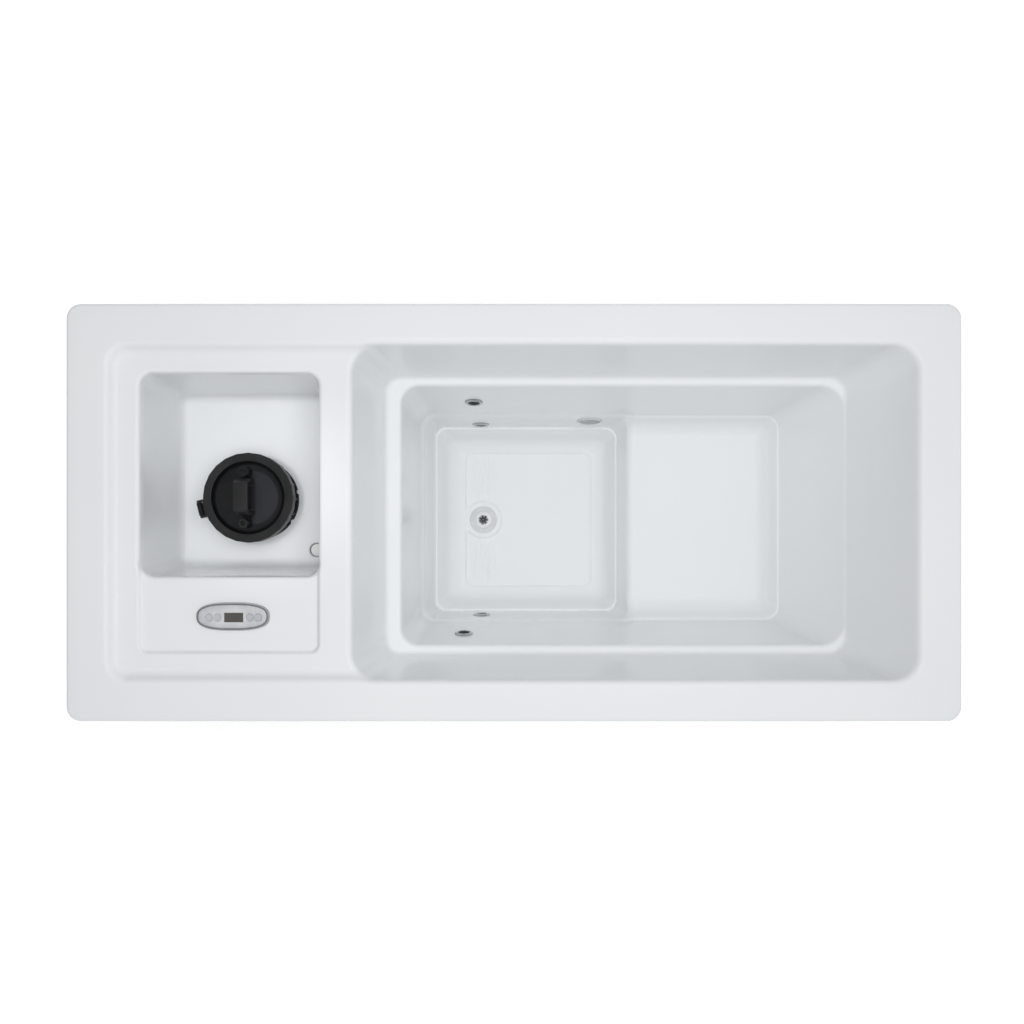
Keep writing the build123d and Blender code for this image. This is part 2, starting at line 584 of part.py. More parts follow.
with BuildPart() as lid_drain_plug:
    with BuildSketch(Plane.XY.offset(740)):
        with Locations((CX, PORT_Y)):
            Circle(11.2)
    extrude(amount=17)
    fillet(lid_drain_plug.edges().group_by(Axis.Z)[-1], 1.5)
    with BuildSketch(Plane.XY.offset(757)):
        with Locations((CX, PORT_Y)):
            RegularPolygon(6.0, 6)
    extrude(amount=-12, mode=Mode.SUBTRACT)
export(lid_drain_plug, "lid_drain_plug")

LATCH_ANGLE = 193.5
LATCH_R, LATCH_PZ = 121.0, 702.0
LATCH_PLANE = Plane(origin=(CX, CY, 0), x_dir=(math.cos(math.radians(LATCH_ANGLE)),
                                               math.sin(math.radians(LATCH_ANGLE)), 0),
                    z_dir=(0, 0, 1))
TANGENT = Plane(origin=(CX + LATCH_R * math.cos(math.radians(LATCH_ANGLE)),
                        CY + LATCH_R * math.sin(math.radians(LATCH_ANGLE)), LATCH_PZ),
                x_dir=(math.cos(math.radians(LATCH_ANGLE)),
                       math.sin(math.radians(LATCH_ANGLE)), 0),
                z_dir=(-math.sin(math.radians(LATCH_ANGLE)),
                       math.cos(math.radians(LATCH_ANGLE)), 0))
with BuildPart() as lock_ring:
    with BuildSketch(Plane.XY.offset(674)):
        with Locations((CX, CY)):
            RegularPolygon(111.0, 24)
    extrude(amount=36)
    fillet(lock_ring.edges().group_by(Axis.Z)[-1], 2.5)
    with BuildSketch(LATCH_PLANE.offset(690)):
        with Locations((108.25, 0)):
            Rectangle(6.5, 44)
        with Locations((115, 19.2), (115, -19.2)):
            Rectangle(20, 5.6)
    extrude(amount=18)
    with BuildSketch(TANGENT.offset(-30)):
        Circle(2.55)
    extrude(amount=60, mode=Mode.SUBTRACT)
    with BuildSketch(Plane.XY.offset(660)):
        with Locations((CX, CY)):
            Circle(98.5)
    extrude(amount=39, mode=Mode.SUBTRACT)
    with BuildSketch(Plane.XY.offset(690)):
        with Locations((CX, CY)):
            Circle(90.5)
    extrude(amount=30, mode=Mode.SUBTRACT)
export(lock_ring, "lock_ring")

with BuildPart() as lock_ring_latch:
    with BuildSketch(LATCH_PLANE.offset(676)):
        with Locations((LATCH_R + 0.5, 0)):
            Rectangle(9, 32)
    extrude(amount=34)
    fillet(lock_ring_latch.edges().filter_by(Axis.Z), 1.5)
    with BuildSketch(TANGENT.offset(-21.5)):
        Circle(2.5)
    extrude(amount=43)
export(lock_ring_latch, "lock_ring_latch")

PLEATS = 48
with BuildPart() as filter_cartridge:
    with BuildSketch(Plane(origin=(CX, CY, 273), z_dir=(0, 0, 1))):
        with BuildLine():
            Polyline(*[(r * math.cos(math.pi * i / PLEATS), r * math.sin(math.pi * i / PLEATS))
                       for i in range(2 * PLEATS) for r in ((71.0,) if i % 2 else (60.0,))],
                     close=True)
        make_face()
        Circle(28, mode=Mode.SUBTRACT)
    extrude(amount=386)
    with BuildSketch(Plane.XY.offset(262), Plane.XY.offset(658)):
        with Locations((CX, CY)):
            Circle(74)
            Circle(28, mode=Mode.SUBTRACT)
    extrude(amount=12)
export(filter_cartridge, "filter_cartridge")

# ---------------------------------------------------------------------------
# control panel in the deck
# ---------------------------------------------------------------------------


def oval(a, b, n=2.7, count=48):
    # points of a super-ellipse, flatter than an ellipse on its long sides
    pts = []
    for i in range(count):
        t = 2 * math.pi * i / count
        c, s = math.cos(t), math.sin(t)
        pts.append((a * math.copysign(abs(c) ** (2 / n), c), b * math.copysign(abs(s) ** (2 / n), s)))
    return pts


PANEL_PLANE = Plane(origin=(PX, PY, RECESS_Z), x_dir=(1, 0, 0), z_dir=(0, 0, 1))
LCD_X, LCD_Y, LCD_L, LCD_W = 2.7, -2.0, 45.0, 22.5
BUTTON_R, WELL_R = 8.6, 9.0
BUTTONS = [("button_pump", LCD_X - 58.0), ("button_light", LCD_X - 38.0),
           ("button_down", LCD_X + 38.0), ("button_up", LCD_X + 58.0)]
FACE_T = 6.0

with BuildPart() as control_bezel:
    with BuildSketch(PANEL_PLANE):
        with BuildLine():
            Spline(*oval(PANEL_L / 2, PANEL_W / 2), periodic=True)
        make_face()
    with BuildSketch(PANEL_PLANE.offset(9)):
        with BuildLine():
            Spline(*oval(PANEL_L / 2 - 3, PANEL_W / 2 - 3), periodic=True)
        make_face()
    loft()
    with BuildSketch(PANEL_PLANE.offset(-1)):
        with BuildLine():
            Spline(*oval(PANEL_L / 2 - 6.5, PANEL_W / 2 - 6.5), periodic=True)
        make_face()
    extrude(amount=20, mode=Mode.SUBTRACT)
export(control_bezel, "control_bezel")

with BuildPart() as control_face:
    with BuildSketch(PANEL_PLANE):
        with BuildLine():
            Spline(*oval(PANEL_L / 2 - 6.5, PANEL_W / 2 - 6.5), periodic=True)
        make_face()
        with Locations((LCD_X, LCD_Y)):
            Rectangle(LCD_L, LCD_W, mode=Mode.SUBTRACT)
        with Locations(*[(x, LCD_Y) for _, x in BUTTONS]):
            Circle(WELL_R, mode=Mode.SUBTRACT)
    extrude(amount=FACE_T)
export(control_face, "control_face")

with BuildPart() as control_display:
    with BuildSketch(PANEL_PLANE):
        with Locations((LCD_X, LCD_Y)):
            Rectangle(LCD_L, LCD_W)
    extrude(amount=FACE_T - 0.6)
export(control_display, "control_display")

for name, x in BUTTONS:
    with BuildPart() as button:
        with BuildSketch(PANEL_PLANE.offset(1.6)):
            with Locations((x, LCD_Y)):
                Circle(BUTTON_R)
        extrude(amount=FACE_T - 1.6 + 1.2)
        fillet(button.edges().group_by(Axis.Z)[-1], 0.8)
    export(button, name)

with BuildPart() as control_housing:
    with BuildSketch(PANEL_PLANE.offset(-44)):
        SlotOverall(BOX_L, BOX_W)
    extrude(amount=44)
    with BuildSketch(PANEL_PLANE.offset(-14)):
        SlotOverall(BOX_L + 16, BOX_W + 16)
        SlotOverall(BOX_L, BOX_W, mode=Mode.SUBTRACT)
    extrude(amount=6)
    with BuildSketch(PANEL_PLANE.offset(-41)):
        SlotOverall(BOX_L - 6, BOX_W - 6)
    extrude(amount=38, mode=Mode.SUBTRACT)
export(control_housing, "control_housing")

with BuildPart() as pocket_plug:
    with BuildSketch(Plane.XY.offset(FLOOR_Z - T - 8)):
        with Locations((PLUG_X, PLUG_Y)):
            Circle(PLUG_R + 8)
    extrude(amount=8)
    with BuildSketch(Plane.XY.offset(FLOOR_Z - T - 8)):
        with Locations((PLUG_X, PLUG_Y)):
            Circle(PLUG_R)
    extrude(amount=T + 7.4)
    with BuildSketch(Plane.XY.offset(FLOOR_Z - T - 2)):
        with Locations((PLUG_X, PLUG_Y)):
            Circle(PLUG_R - 2.5)
    extrude(amount=20, mode=Mode.SUBTRACT)
export(pocket_plug, "pocket_plug")

# ---------------------------------------------------------------------------
# jets, wall fittings and light, each square to its wall
# ---------------------------------------------------------------------------
JET_R, JET_BORE = 24.5, 15.4


def ring_profile(r_in, r_out, h):
    return [(r_in, 0), (r_out, 0), (r_out, h * 0.4), (r_out - h * 0.7, h), (r_in + 1.0, h),
            (r_in, h - 1.0)]


def side_plane(pl):
    # half-plane through the fitting's own axis: x = radius, y = height over the wall
    return Plane(origin=pl.origin, x_dir=pl.x_dir, z_dir=pl.x_dir.cross(pl.z_dir))


with BuildPart() as jet_bodies:
    for pl in (PL_A, PL_B):
        with BuildSketch(side_plane(pl)):
            with BuildLine():
                Polyline((JET_BORE, 0), (18, 0), (18, -44), (24, -48), (24, -60), (0, -60),
                         (0, -52), (JET_BORE, -52), close=True)
            make_face()
        revolve(axis=Axis(pl.origin, pl.z_dir))
        with BuildSketch(pl.offset(-60)):
            Circle(17)
        extrude(amount=10, mode=Mode.SUBTRACT)
export(jet_bodies, "jet_bodies")

for pl, tag in ((PL_A, "a"), (PL_B, "b")):
    with BuildPart() as jet_ring:
        with BuildSketch(side_plane(pl)):
            with BuildLine():
                Polyline(*ring_profile(JET_BORE, JET_R, 5.0), close=True)
            make_face()
        revolve(axis=Axis(pl.origin, pl.z_dir))
    export(jet_ring, f"jet_ring_{tag}")
    with BuildPart() as jet_nozzle:
        with BuildSketch(side_plane(pl)):
            with BuildLine():
                Polyline((0, -16), (JET_BORE - 0.4, -16), (JET_BORE - 0.4, 3.4),
                         (JET_BORE - 1.6, 4.2), (11.5, -2.5), (6, -4.5), (0, -4.5), close=True)
            make_face()
        revolve(axis=Axis(pl.origin, pl.z_dir))
        with BuildSketch(pl.offset(-20)):
            with Locations((3.5, 0)):
                Circle(5.2)
        extrude(amount=30, mode=Mode.SUBTRACT)
        # three grip vanes
        with BuildSketch(pl.offset(-6)):
            with PolarLocations(10.6, 3, start_angle=90):
                Rectangle(7.4, 2.2)
        extrude(amount=8)
    export(jet_nozzle, f"jet_nozzle_{tag}")

for pl, name in ((PL_C, "return_fitting"), (PL_D, "suction_fitting")):
    with BuildPart() as fitting:
        with BuildSketch(side_plane(pl)):
            with BuildLine():
                Polyline((14, -40), (17, -40), (17, 0), (24.5, 0), (24.5, 1.5), (22, 3.4),
                         (15.2, 3.4), (14, 1.5), close=True)
            make_face()
        revolve(axis=Axis(pl.origin, pl.z_dir))
        with BuildSketch(pl.offset(-4)):
            with Locations(*[(0, y) for y in (-9, -3, 3, 9)]):
                Rectangle(30, 2.6)
            Rectangle(2.6, 28.6)
            Circle(14.6, mode=Mode.INTERSECT)
        extrude(amount=5)
    export(fitting, name)

with BuildPart() as light_housing:
    with BuildSketch(side_plane(PL_E)):
        with BuildLine():
            Polyline((0, -46), (27, -46), (27, 0), (35.7, 0), (35.7, 1.8), (33, 4), (30.2, 4),
                     (30.2, 2), (24, 2), (24, -42), (0, -42), close=True)
        make_face()
    revolve(axis=Axis(PL_E.origin, PL_E.z_dir))
export(light_housing, "light_housing")

with BuildPart() as light_lens:
    with BuildSketch(side_plane(PL_E)):
        with BuildLine():
            Polyline((0, 7.6), (10, 7.2), (20, 6.0), (27, 4.6), (30.2, 3.4), (30.2, 2), (0, 2),
                     close=True)
        make_face()
    revolve(axis=Axis(PL_E.origin, PL_E.z_dir))
export(light_lens, "light_lens")

NUTS = ((PL_A, 18.0, 27.0, 12.0), (PL_B, 18.0, 27.0, 12.0), (PL_C, 17.0, 25.0, 10.0),
        (PL_D, 17.0, 25.0, 10.0), (PL_E, 27.0, 36.0, 10.0))
DRAIN_PL = Plane(origin=(DRAIN_X, DRAIN_Y, HEIGHT - FLOOR_D), x_dir=(1, 0, 0), z_dir=(0, 0, 1))
with BuildPart() as fitting_locknuts:
    for pl, r_in, r_out, h in NUTS:
        with BuildSketch(pl.offset(-T - 2 - h)):
            RegularPolygon(r_out, 8)
            Circle(r_in, mode=Mode.SUBTRACT)
        extrude(amount=h)
    with BuildSketch(Plane.XY.offset(FLOOR_Z - T - 18)):
        with Locations((CX, CY)):
            RegularPolygon(112, 10)
            Circle(CAN_HOLE_R, mode=Mode.SUBTRACT)
    extrude(amount=18)
    with BuildSketch(DRAIN_PL.offset(-T - 8)):
        RegularPolygon(35, 8)
        Circle(DRAIN_HOLE_R, mode=Mode.SUBTRACT)
    extrude(amount=8)
export(fitting_locknuts, "fitting_locknuts")

with BuildPart() as drain_flange:
    with BuildSketch(Plane(origin=DRAIN_PL.origin, x_dir=(1, 0, 0), z_dir=(0, -1, 0))):
        with BuildLine():
            Polyline((24.2, 1.2), (20, 1.2), (20, -19), (24.5, -19), (24.5, 0), (39.7, 0),
                     (39.7, 1.6), (37.5, 3.2), (26.5, 3.2), (24.2, 2.6), close=True)
        make_face()
    revolve(axis=Axis(DRAIN_PL.origin, (0, 0, 1)))
export(drain_flange, "drain_flange")

with BuildPart() as drain_strainer:
    with BuildSketch(DRAIN_PL.offset(1.2)):
        Circle(24.2)
        with BuildLine():
            Polyline(*[((12.0 if i % 2 else 16.6) * math.cos(math.pi * i / 7),
                        (12.0 if i % 2 else 16.6) * math.sin(math.pi * i / 7))
                       for i in range(14)], close=True)
        make_face(mode=Mode.SUBTRACT)
        Circle(5.0)
        with PolarLocations(0, 7):
            Rectangle(34, 1.6)
        Circle(24.2, mode=Mode.INTERSECT)
    extrude(amount=2.2)
export(drain_strainer, "drain_strainer")

# ---------------------------------------------------------------------------
# machinery in the service bay
# ---------------------------------------------------------------------------
MX, MY, MZ = -590.0, -290.0, 130.0       # pump's volute centre, shaft along X


def about(point, points):
    # profile of (radius, along +X) points for turning about the shaft line
    with BuildSketch(Plane(origin=point, x_dir=(0, 0, 1), z_dir=(0, -1, 0))) as prof:
        with BuildLine():
            Polyline(*points, close=True)
        make_face()
    return prof.sketch


with BuildPart() as pump_volute:
    with BuildSketch(Plane(origin=(MX, MY, MZ), x_dir=(0, 0, 1), z_dir=(0, 1, 0))):
        with BuildLine():
            Polyline((10, -30), (70, -30), (74, -24), (74, 24), (68, 30), (24, 32), (24, 60),
                     (17, 60), (17, 16), (58, 16), (58, -20), (10, -20), close=True)
        make_face()
    revolve(axis=Axis((MX, MY, MZ), (1, 0, 0)))
    with BuildSketch(Plane.XY.offset(MZ + 66)):
        with Locations((MX, MY)):
            Circle(20)
    extrude(amount=44)
    with BuildSketch(Plane.XY.offset(MZ + 50)):
        with Locations((MX, MY)):
            Circle(15)
    extrude(amount=70, mode=Mode.SUBTRACT)
export(pump_volute, "pump_volute")

with BuildPart() as pump_impeller:
    with BuildSketch(Plane(origin=(MX - 12, MY, MZ), x_dir=(0, 1, 0), z_dir=(1, 0, 0))):
        Circle(50)
    extrude(amount=4)
    with BuildSketch(Plane(origin=(MX - 8, MY, MZ), x_dir=(0, 1, 0), z_dir=(1, 0, 0))):
        Circle(12)
        with PolarLocations(29, 6):
            with Locations(Location((0, 0), 28)):
                Rectangle(38, 3.5)
    extrude(amount=16)
    with BuildSketch(Plane(origin=(MX - 42, MY, MZ), x_dir=(0, 1, 0), z_dir=(1, 0, 0))):
        Circle(7)
    extrude(amount=32)
export(pump_impeller, "pump_impeller")

with BuildPart() as pump_motor:
    with BuildSketch(Plane(origin=(MX - 270, MY, MZ), x_dir=(0, 1, 0), z_dir=(1, 0, 0))):
        Circle(60)
        with PolarLocations(62, 24):
            Rectangle(10, 3)
    extrude(amount=225)
    with BuildSketch(Plane(origin=(MX - 45, MY, MZ), x_dir=(0, 1, 0), z_dir=(1, 0, 0))):
        Circle(40)
    extrude(amount=15)
    with BuildSketch(Plane(origin=(MX - 48, MY, MZ), x_dir=(0, 1, 0), z_dir=(1, 0, 0))):
        Circle(7.06)
    extrude(amount=30, mode=Mode.SUBTRACT)
    with Locations((MX - 150, MY, (PAN_T + MZ - 40) / 2)):
        Box(150, 100, MZ - 40 - PAN_T)
    with Locations((MX - 150, MY, PAN_T + 5)):
        Box(170, 130, 10)
    with Locations((MX - 150, MY, MZ + 72)):
        Box(90, 60, 34)
export(pump_motor, "pump_motor")

# cooling unit: case, compressor, finned condenser with its fan, heat exchanger
CH_X0, CH_X1, CH_Y0, CH_Y1, CH_Z1 = -985.0, -640.0, 190.0, 430.0, 400.0
FAN_X, FAN_Y, FAN_Z = -835.0, 358.0, 262.0
with BuildPart() as chiller_case:
    with Locations(((CH_X0 + CH_X1) / 2, (CH_Y0 + CH_Y1) / 2, (PAN_T + CH_Z1) / 2)):
        Box(CH_X1 - CH_X0, CH_Y1 - CH_Y0, CH_Z1 - PAN_T)
        Box(CH_X1 - CH_X0 - 5, CH_Y1 - CH_Y0 - 5, CH_Z1 - PAN_T - 5, mode=Mode.SUBTRACT)
    with Locations((FAN_X, CH_Y1, FAN_Z)):
        Box(244, 40, 244, mode=Mode.SUBTRACT)
    with Locations(*[(FAN_X + 10, CH_Y0, z) for z in range(140, 370, 24)]):
        Box(240, 30, 10, mode=Mode.SUBTRACT)
    with Locations((CH_X0 + 60, 430, 28)):
        Box(124, 60, 44, mode=Mode.SUBTRACT)
    with Locations((CH_X1 - 60, 430, 28)):
        Box(124, 60, 44, mode=Mode.SUBTRACT)
    with Locations(((CH_X0 + CH_X1) / 2, 440, 28)):
        Box(400, 21, 44, mode=Mode.SUBTRACT)
export(chiller_case, "chiller_case")

with BuildPart() as chiller_compressor:
    with BuildSketch(Plane.XY.offset(PAN_T + 2.5)):
        with Locations((-705, 272)):
            RectangleRounded(116, 116, 14)
    extrude(amount=8)
    with BuildSketch(Plane.XY.offset(PAN_T + 10.5)):
        with Locations((-705, 272)):
            Circle(54)
    extrude(amount=170)
    fillet(chiller_compressor.edges().group_by(Axis.Z)[-1], 24)
    with BuildSketch(Plane.XY.offset(PAN_T + 170)):
        with Locations((-705, 295)):
            Circle(8)
    extrude(amount=36)
export(chiller_compressor, "chiller_compressor")

with BuildPart() as chiller_condenser:
    with Locations((FAN_X, 408, FAN_Z)):
        Box(236, 32, 236)
        Box(224, 40, 224, mode=Mode.SUBTRACT)
    with Locations(*[(FAN_X - 110 + 6.875 * i, 408, FAN_Z) for i in range(33)]):
        Box(1.2, 28, 226)
    with Locations(*[Location((FAN_X, 408, FAN_Z - 96 + 32 * i), (0, 90, 0)) for i in range(7)]):
        Cylinder(4.5, 228)
    with Locations((FAN_X, 388, FAN_Z)):
        Box(236, 9, 22)
    with Locations(Location((FAN_X, 388, FAN_Z), (90, 0, 0))):
        Cylinder(4.05, 12, mode=Mode.SUBTRACT)
    # legs down to the case floor
    with Locations((FAN_X - 112, 408, (PAN_T + 2.5 + FAN_Z - 118) / 2), (FAN_X + 112, 408, (PAN_T + 2.5 + FAN_Z - 118) / 2)):
        Box(12, 20, FAN_Z - 118 - PAN_T - 2.5)
export(chiller_condenser, "chiller_condenser")

with BuildPart() as chiller_fan:
    with BuildSketch(Plane(origin=(FAN_X, FAN_Y - 16, FAN_Z), x_dir=(1, 0, 0), z_dir=(0, 1, 0))):
        Circle(26)
    extrude(amount=32)
    with Locations(*[Location((FAN_X, FAN_Y, FAN_Z), (0, 72 * i, 0)) for i in range(5)]):
        with Locations(Location((60, 0, 0), (32, 0, 0))):
            Box(78, 2.2, 46)
    with BuildSketch(Plane(origin=(FAN_X, FAN_Y + 10, FAN_Z), x_dir=(1, 0, 0), z_dir=(0, 1, 0))):
        Circle(4.0)
    extrude(amount=24)
export(chiller_fan, "chiller_fan")

HX, HY = -930.0, 110.0
with BuildPart() as heat_exchanger:
    with BuildSketch(Plane.XY.offset(130)):
        with Locations((HX, HY)):
            Circle(42)
    extrude(amount=250)
    fillet(heat_exchanger.edges().filter_by(GeomType.CIRCLE), 10)
    with BuildSketch(Plane.XY.offset(374)):
        with Locations((HX, HY)):
            Circle(24)
    extrude(amount=26)
    with BuildSketch(Plane(origin=(HX + 36, HY, 165), x_dir=(0, 1, 0), z_dir=(1, 0, 0))):
        Circle(24)
    extrude(amount=24)
    with BuildSketch(Plane.XY.offset(PAN_T)):
        with Locations((HX, HY)):
            Rectangle(50, 40)
    extrude(amount=130)
    with BuildSketch(Plane.XY.offset(370)):
        with Locations((HX, HY)):
            Circle(17)
    extrude(amount=40, mode=Mode.SUBTRACT)
    with BuildSketch(Plane(origin=(HX + 38, HY, 165), x_dir=(0, 1, 0), z_dir=(1, 0, 0))):
        Circle(17)
    extrude(amount=40, mode=Mode.SUBTRACT)
export(heat_exchanger, "heat_exchanger")


def behind(pl, depth, y_extra=0.0):
    o = pl.origin - pl.z_dir * depth
    return (o.X, o.Y, o.Z)


def step(point, pl, depth):
    v = Vector(*point) - pl.z_dir * depth
    return (v.X, v.Y, v.Z)


A0, B0, C0, D0 = behind(PL_A, 60), behind(PL_B, 60), behind(PL_C, 40), behind(PL_D, 40)
ROUTES = [
    # suction: floor-level fitting to the pump's eye
    ([D0, step(D0, PL_D, 60), (-260.0, -372.0, 190.0), (-440.0, MY, MZ), (MX + 60, MY, MZ)],
     [36, 60, 60]),
    # pump to the filter's lower port
    ([(MX, MY, MZ + 110), (MX, MY, 290.0), (CX, -200.0, 290.0), (CX, CY - 121, 290.0)], [34, 40]),
    # filter's upper port to the heat exchanger
    ([(CX - 121, CY, 500.0), (-870.0, CY, 500.0), (HX, HY, 470.0), (HX, HY, 400.0)], [34, 34]),
    # heat exchanger to the return fitting
    ([(HX + 60, HY, 165.0), (-440.0, HY, 165.0), (-360.0, 372.0, 200.0),
      (-200.0, 385.0, C0[2] - 6), step(C0, PL_C, 62), C0], [60, 60, 30, 26]),
    # jet feeds off the return line
    ([A0, step(A0, PL_A, 44), (-210.0, 405.0, 330.0), (-250.0, 381.0, 222.0)], [26, 40]),
    ([B0, step(B0, PL_B, 40), (-370.0, -400.0, 440.0), (-370.0, 330.0, 440.0),
      (-372.0, 330.0, 194.0)], [26, 60, 60]),
]
# drain line
DRAIN_ROUTE = ([(DRAIN_X, DRAIN_Y, HEIGHT - FLOOR_D - 19), (DRAIN_X, DRAIN_Y, DRAIN_LINE_Z),
                (-900.0, 0.0, DRAIN_LINE_Z)], [22.5])


def tube(route, radii, r, mode):
    with BuildLine() as path:
        FilletPolyline(*route, radius=radii)
    line = path.line
    with BuildSketch(Plane(origin=line @ 0, z_dir=line % 0)) as ring:
        Circle(r)
    sweep(ring.sketch, path=line, mode=mode)


with BuildPart() as water_pipes:
    for route, radii in ROUTES + [DRAIN_ROUTE]:
        tube(route, radii, 20.0, Mode.ADD)
    for route, radii in ROUTES + [DRAIN_ROUTE]:
        tube(route, radii, 17.0, Mode.SUBTRACT)
export(water_pipes, "water_pipes")
print("water_pipes", len(water_pipes.part.solids()), water_pipes.part.is_valid)

# drain valve at the service end, with a lever on top
with BuildPart() as drain_valve:
    with BuildSketch(Plane(origin=(-900, 0, DRAIN_LINE_Z), x_dir=(0, 1, 0), z_dir=(-1, 0, 0))):
        Circle(27)
    extrude(amount=70)
    with BuildSketch(Plane(origin=(-965, 0, DRAIN_LINE_Z), x_dir=(0, 1, 0), z_dir=(-1, 0, 0))):
        Circle(22)
    extrude(amount=77)
    with BuildSketch(Plane.XY.offset(DRAIN_LINE_Z + 20)):
        with Locations((-935, 0)):
            Circle(12)
    extrude(amount=18)
    with BuildSketch(Plane(origin=(-895, 0, DRAIN_LINE_Z), x_dir=(0, 1, 0), z_dir=(-1, 0, 0))):
        Circle(16)
    extrude(amount=200, mode=Mode.SUBTRACT)
    with BuildSketch(Plane.XY.offset(DRAIN_LINE_Z + 18)):
        with Locations((-935, 0)):
            Circle(4.05)
    extrude(amount=40, mode=Mode.SUBTRACT)
export(drain_valve, "drain_valve")

with BuildPart() as drain_handle:
    with BuildSketch(Plane.XY.offset(DRAIN_LINE_Z + 21)):
        with Locations((-935, 0)):
            Circle(4.0)
    extrude(amount=18)
    with BuildSketch(Plane.XY.offset(DRAIN_LINE_Z + 38.4)):
        with Locations((-935, 30)):
            RectangleRounded(16, 86, 7)
    extrude(amount=6)
export(drain_handle, "drain_handle")

with BuildPart() as control_box:
    with Locations((-600, -FY + 38, 400)):
        Box(190, 76, 170)
    fillet(control_box.edges().filter_by(Axis.Y), 6)
    with Locations((-600, -FY + 77, 400)):
        Box(170, 3, 150)
export(control_box, "control_box")
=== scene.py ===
import json
import math

import bmesh
import bpy
import numpy as np
from mathutils import Matrix, Vector


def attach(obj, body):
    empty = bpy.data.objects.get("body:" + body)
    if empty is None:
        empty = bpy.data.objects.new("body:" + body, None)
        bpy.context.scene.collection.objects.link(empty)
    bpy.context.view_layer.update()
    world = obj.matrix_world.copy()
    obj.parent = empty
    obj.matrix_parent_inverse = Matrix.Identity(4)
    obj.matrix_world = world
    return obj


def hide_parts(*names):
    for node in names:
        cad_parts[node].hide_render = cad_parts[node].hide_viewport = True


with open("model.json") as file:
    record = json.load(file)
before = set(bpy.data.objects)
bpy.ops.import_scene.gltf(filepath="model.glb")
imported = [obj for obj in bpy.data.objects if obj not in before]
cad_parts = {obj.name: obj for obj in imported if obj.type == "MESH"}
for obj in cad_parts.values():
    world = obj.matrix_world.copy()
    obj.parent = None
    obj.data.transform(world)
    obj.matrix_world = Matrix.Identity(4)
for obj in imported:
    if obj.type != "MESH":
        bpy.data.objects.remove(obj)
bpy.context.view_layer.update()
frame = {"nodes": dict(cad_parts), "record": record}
N = frame["nodes"]
scene = bpy.context.scene
MM = 0.001

# ---------------------------------------------------------------------------
# camera: straight down, at the photograph's distance and framing
# ---------------------------------------------------------------------------
CAM_X, CAM_Y, CAM_H = 0.0845, -0.0831, 3.76
RIM_Z = 0.860
SPAN = 2.3976                       # width of the view at the rim, metres
cam_data = bpy.data.cameras.new("camera")
cam = bpy.data.objects.new("camera", cam_data)
scene.collection.objects.link(cam)
cam.location = (CAM_X, CAM_Y, CAM_H)
cam.rotation_euler = (0, 0, 0)
cam_data.sensor_width = 36.0
cam_data.lens = 36.0 * (CAM_H - RIM_Z) / SPAN
cam_data.shift_x = -(550.0 - 512.0) / 1024.0
cam_data.shift_y = (548.0 - 512.0) / 1024.0
cam_data.clip_end = 50.0
scene.camera = cam

# ---------------------------------------------------------------------------
# materials
# ---------------------------------------------------------------------------


def new_mat(name):
    m = bpy.data.materials.new(name)
    m.use_nodes = True
    nt = m.node_tree
    bsdf = nt.nodes["Principled BSDF"]
    return m, nt, bsdf


def coords(nt, scale=(1, 1, 1), rot=(0, 0, 0)):
    tc = nt.nodes.new("ShaderNodeTexCoord")
    mp = nt.nodes.new("ShaderNodeMapping")
    mp.inputs["Scale"].default_value = scale
    mp.inputs["Rotation"].default_value = rot
    nt.links.new(tc.outputs["Object"], mp.inputs["Vector"])
    return mp.outputs["Vector"]


def noise(nt, vec, scale, detail=4.0, rough=0.55, dist=0.0):
    n = nt.nodes.new("ShaderNodeTexNoise")
    n.inputs["Scale"].default_value = scale
    n.inputs["Detail"].default_value = detail
    n.inputs["Roughness"].default_value = rough
    n.inputs["Distortion"].default_value = dist
    nt.links.new(vec, n.inputs["Vector"])
    return n.outputs["Fac"]


def ramp(nt, fac, lo, hi, p0=0.3, p1=0.7):
    r = nt.nodes.new("ShaderNodeValToRGB")
    r.color_ramp.elements[0].position = p0
    r.color_ramp.elements[1].position = p1
    r.color_ramp.elements[0].color = lo if len(lo) == 4 else (*lo, 1)
    r.color_ramp.elements[1].color = hi if len(hi) == 4 else (*hi, 1)
    nt.links.new(fac, r.inputs["Fac"])
    return r.outputs["Color"]


def span(nt, fac, lo, hi, f0=0.3, f1=0.7):
    r = nt.nodes.new("ShaderNodeMapRange")
    r.inputs["From Min"].default_value = f0
    r.inputs["From Max"].default_value = f1
    r.inputs["To Min"].default_value = lo
    r.inputs["To Max"].default_value = hi
    nt.links.new(fac, r.inputs["Value"])
    return r.outputs["Result"]


def bump(nt, bsdf, heights, strength=0.3, distance=0.0005):
    last = None
    for h, s, d in heights:
        b = nt.nodes.new("ShaderNodeBump")
        b.inputs["Strength"].default_value = s
        b.inputs["Distance"].default_value = d
        nt.links.new(h, b.inputs["Height"])
        if last is not None:
            nt.links.new(last, b.inputs["Normal"])
        last = b.outputs["Normal"]
    nt.links.new(last, bsdf.inputs["Normal"])


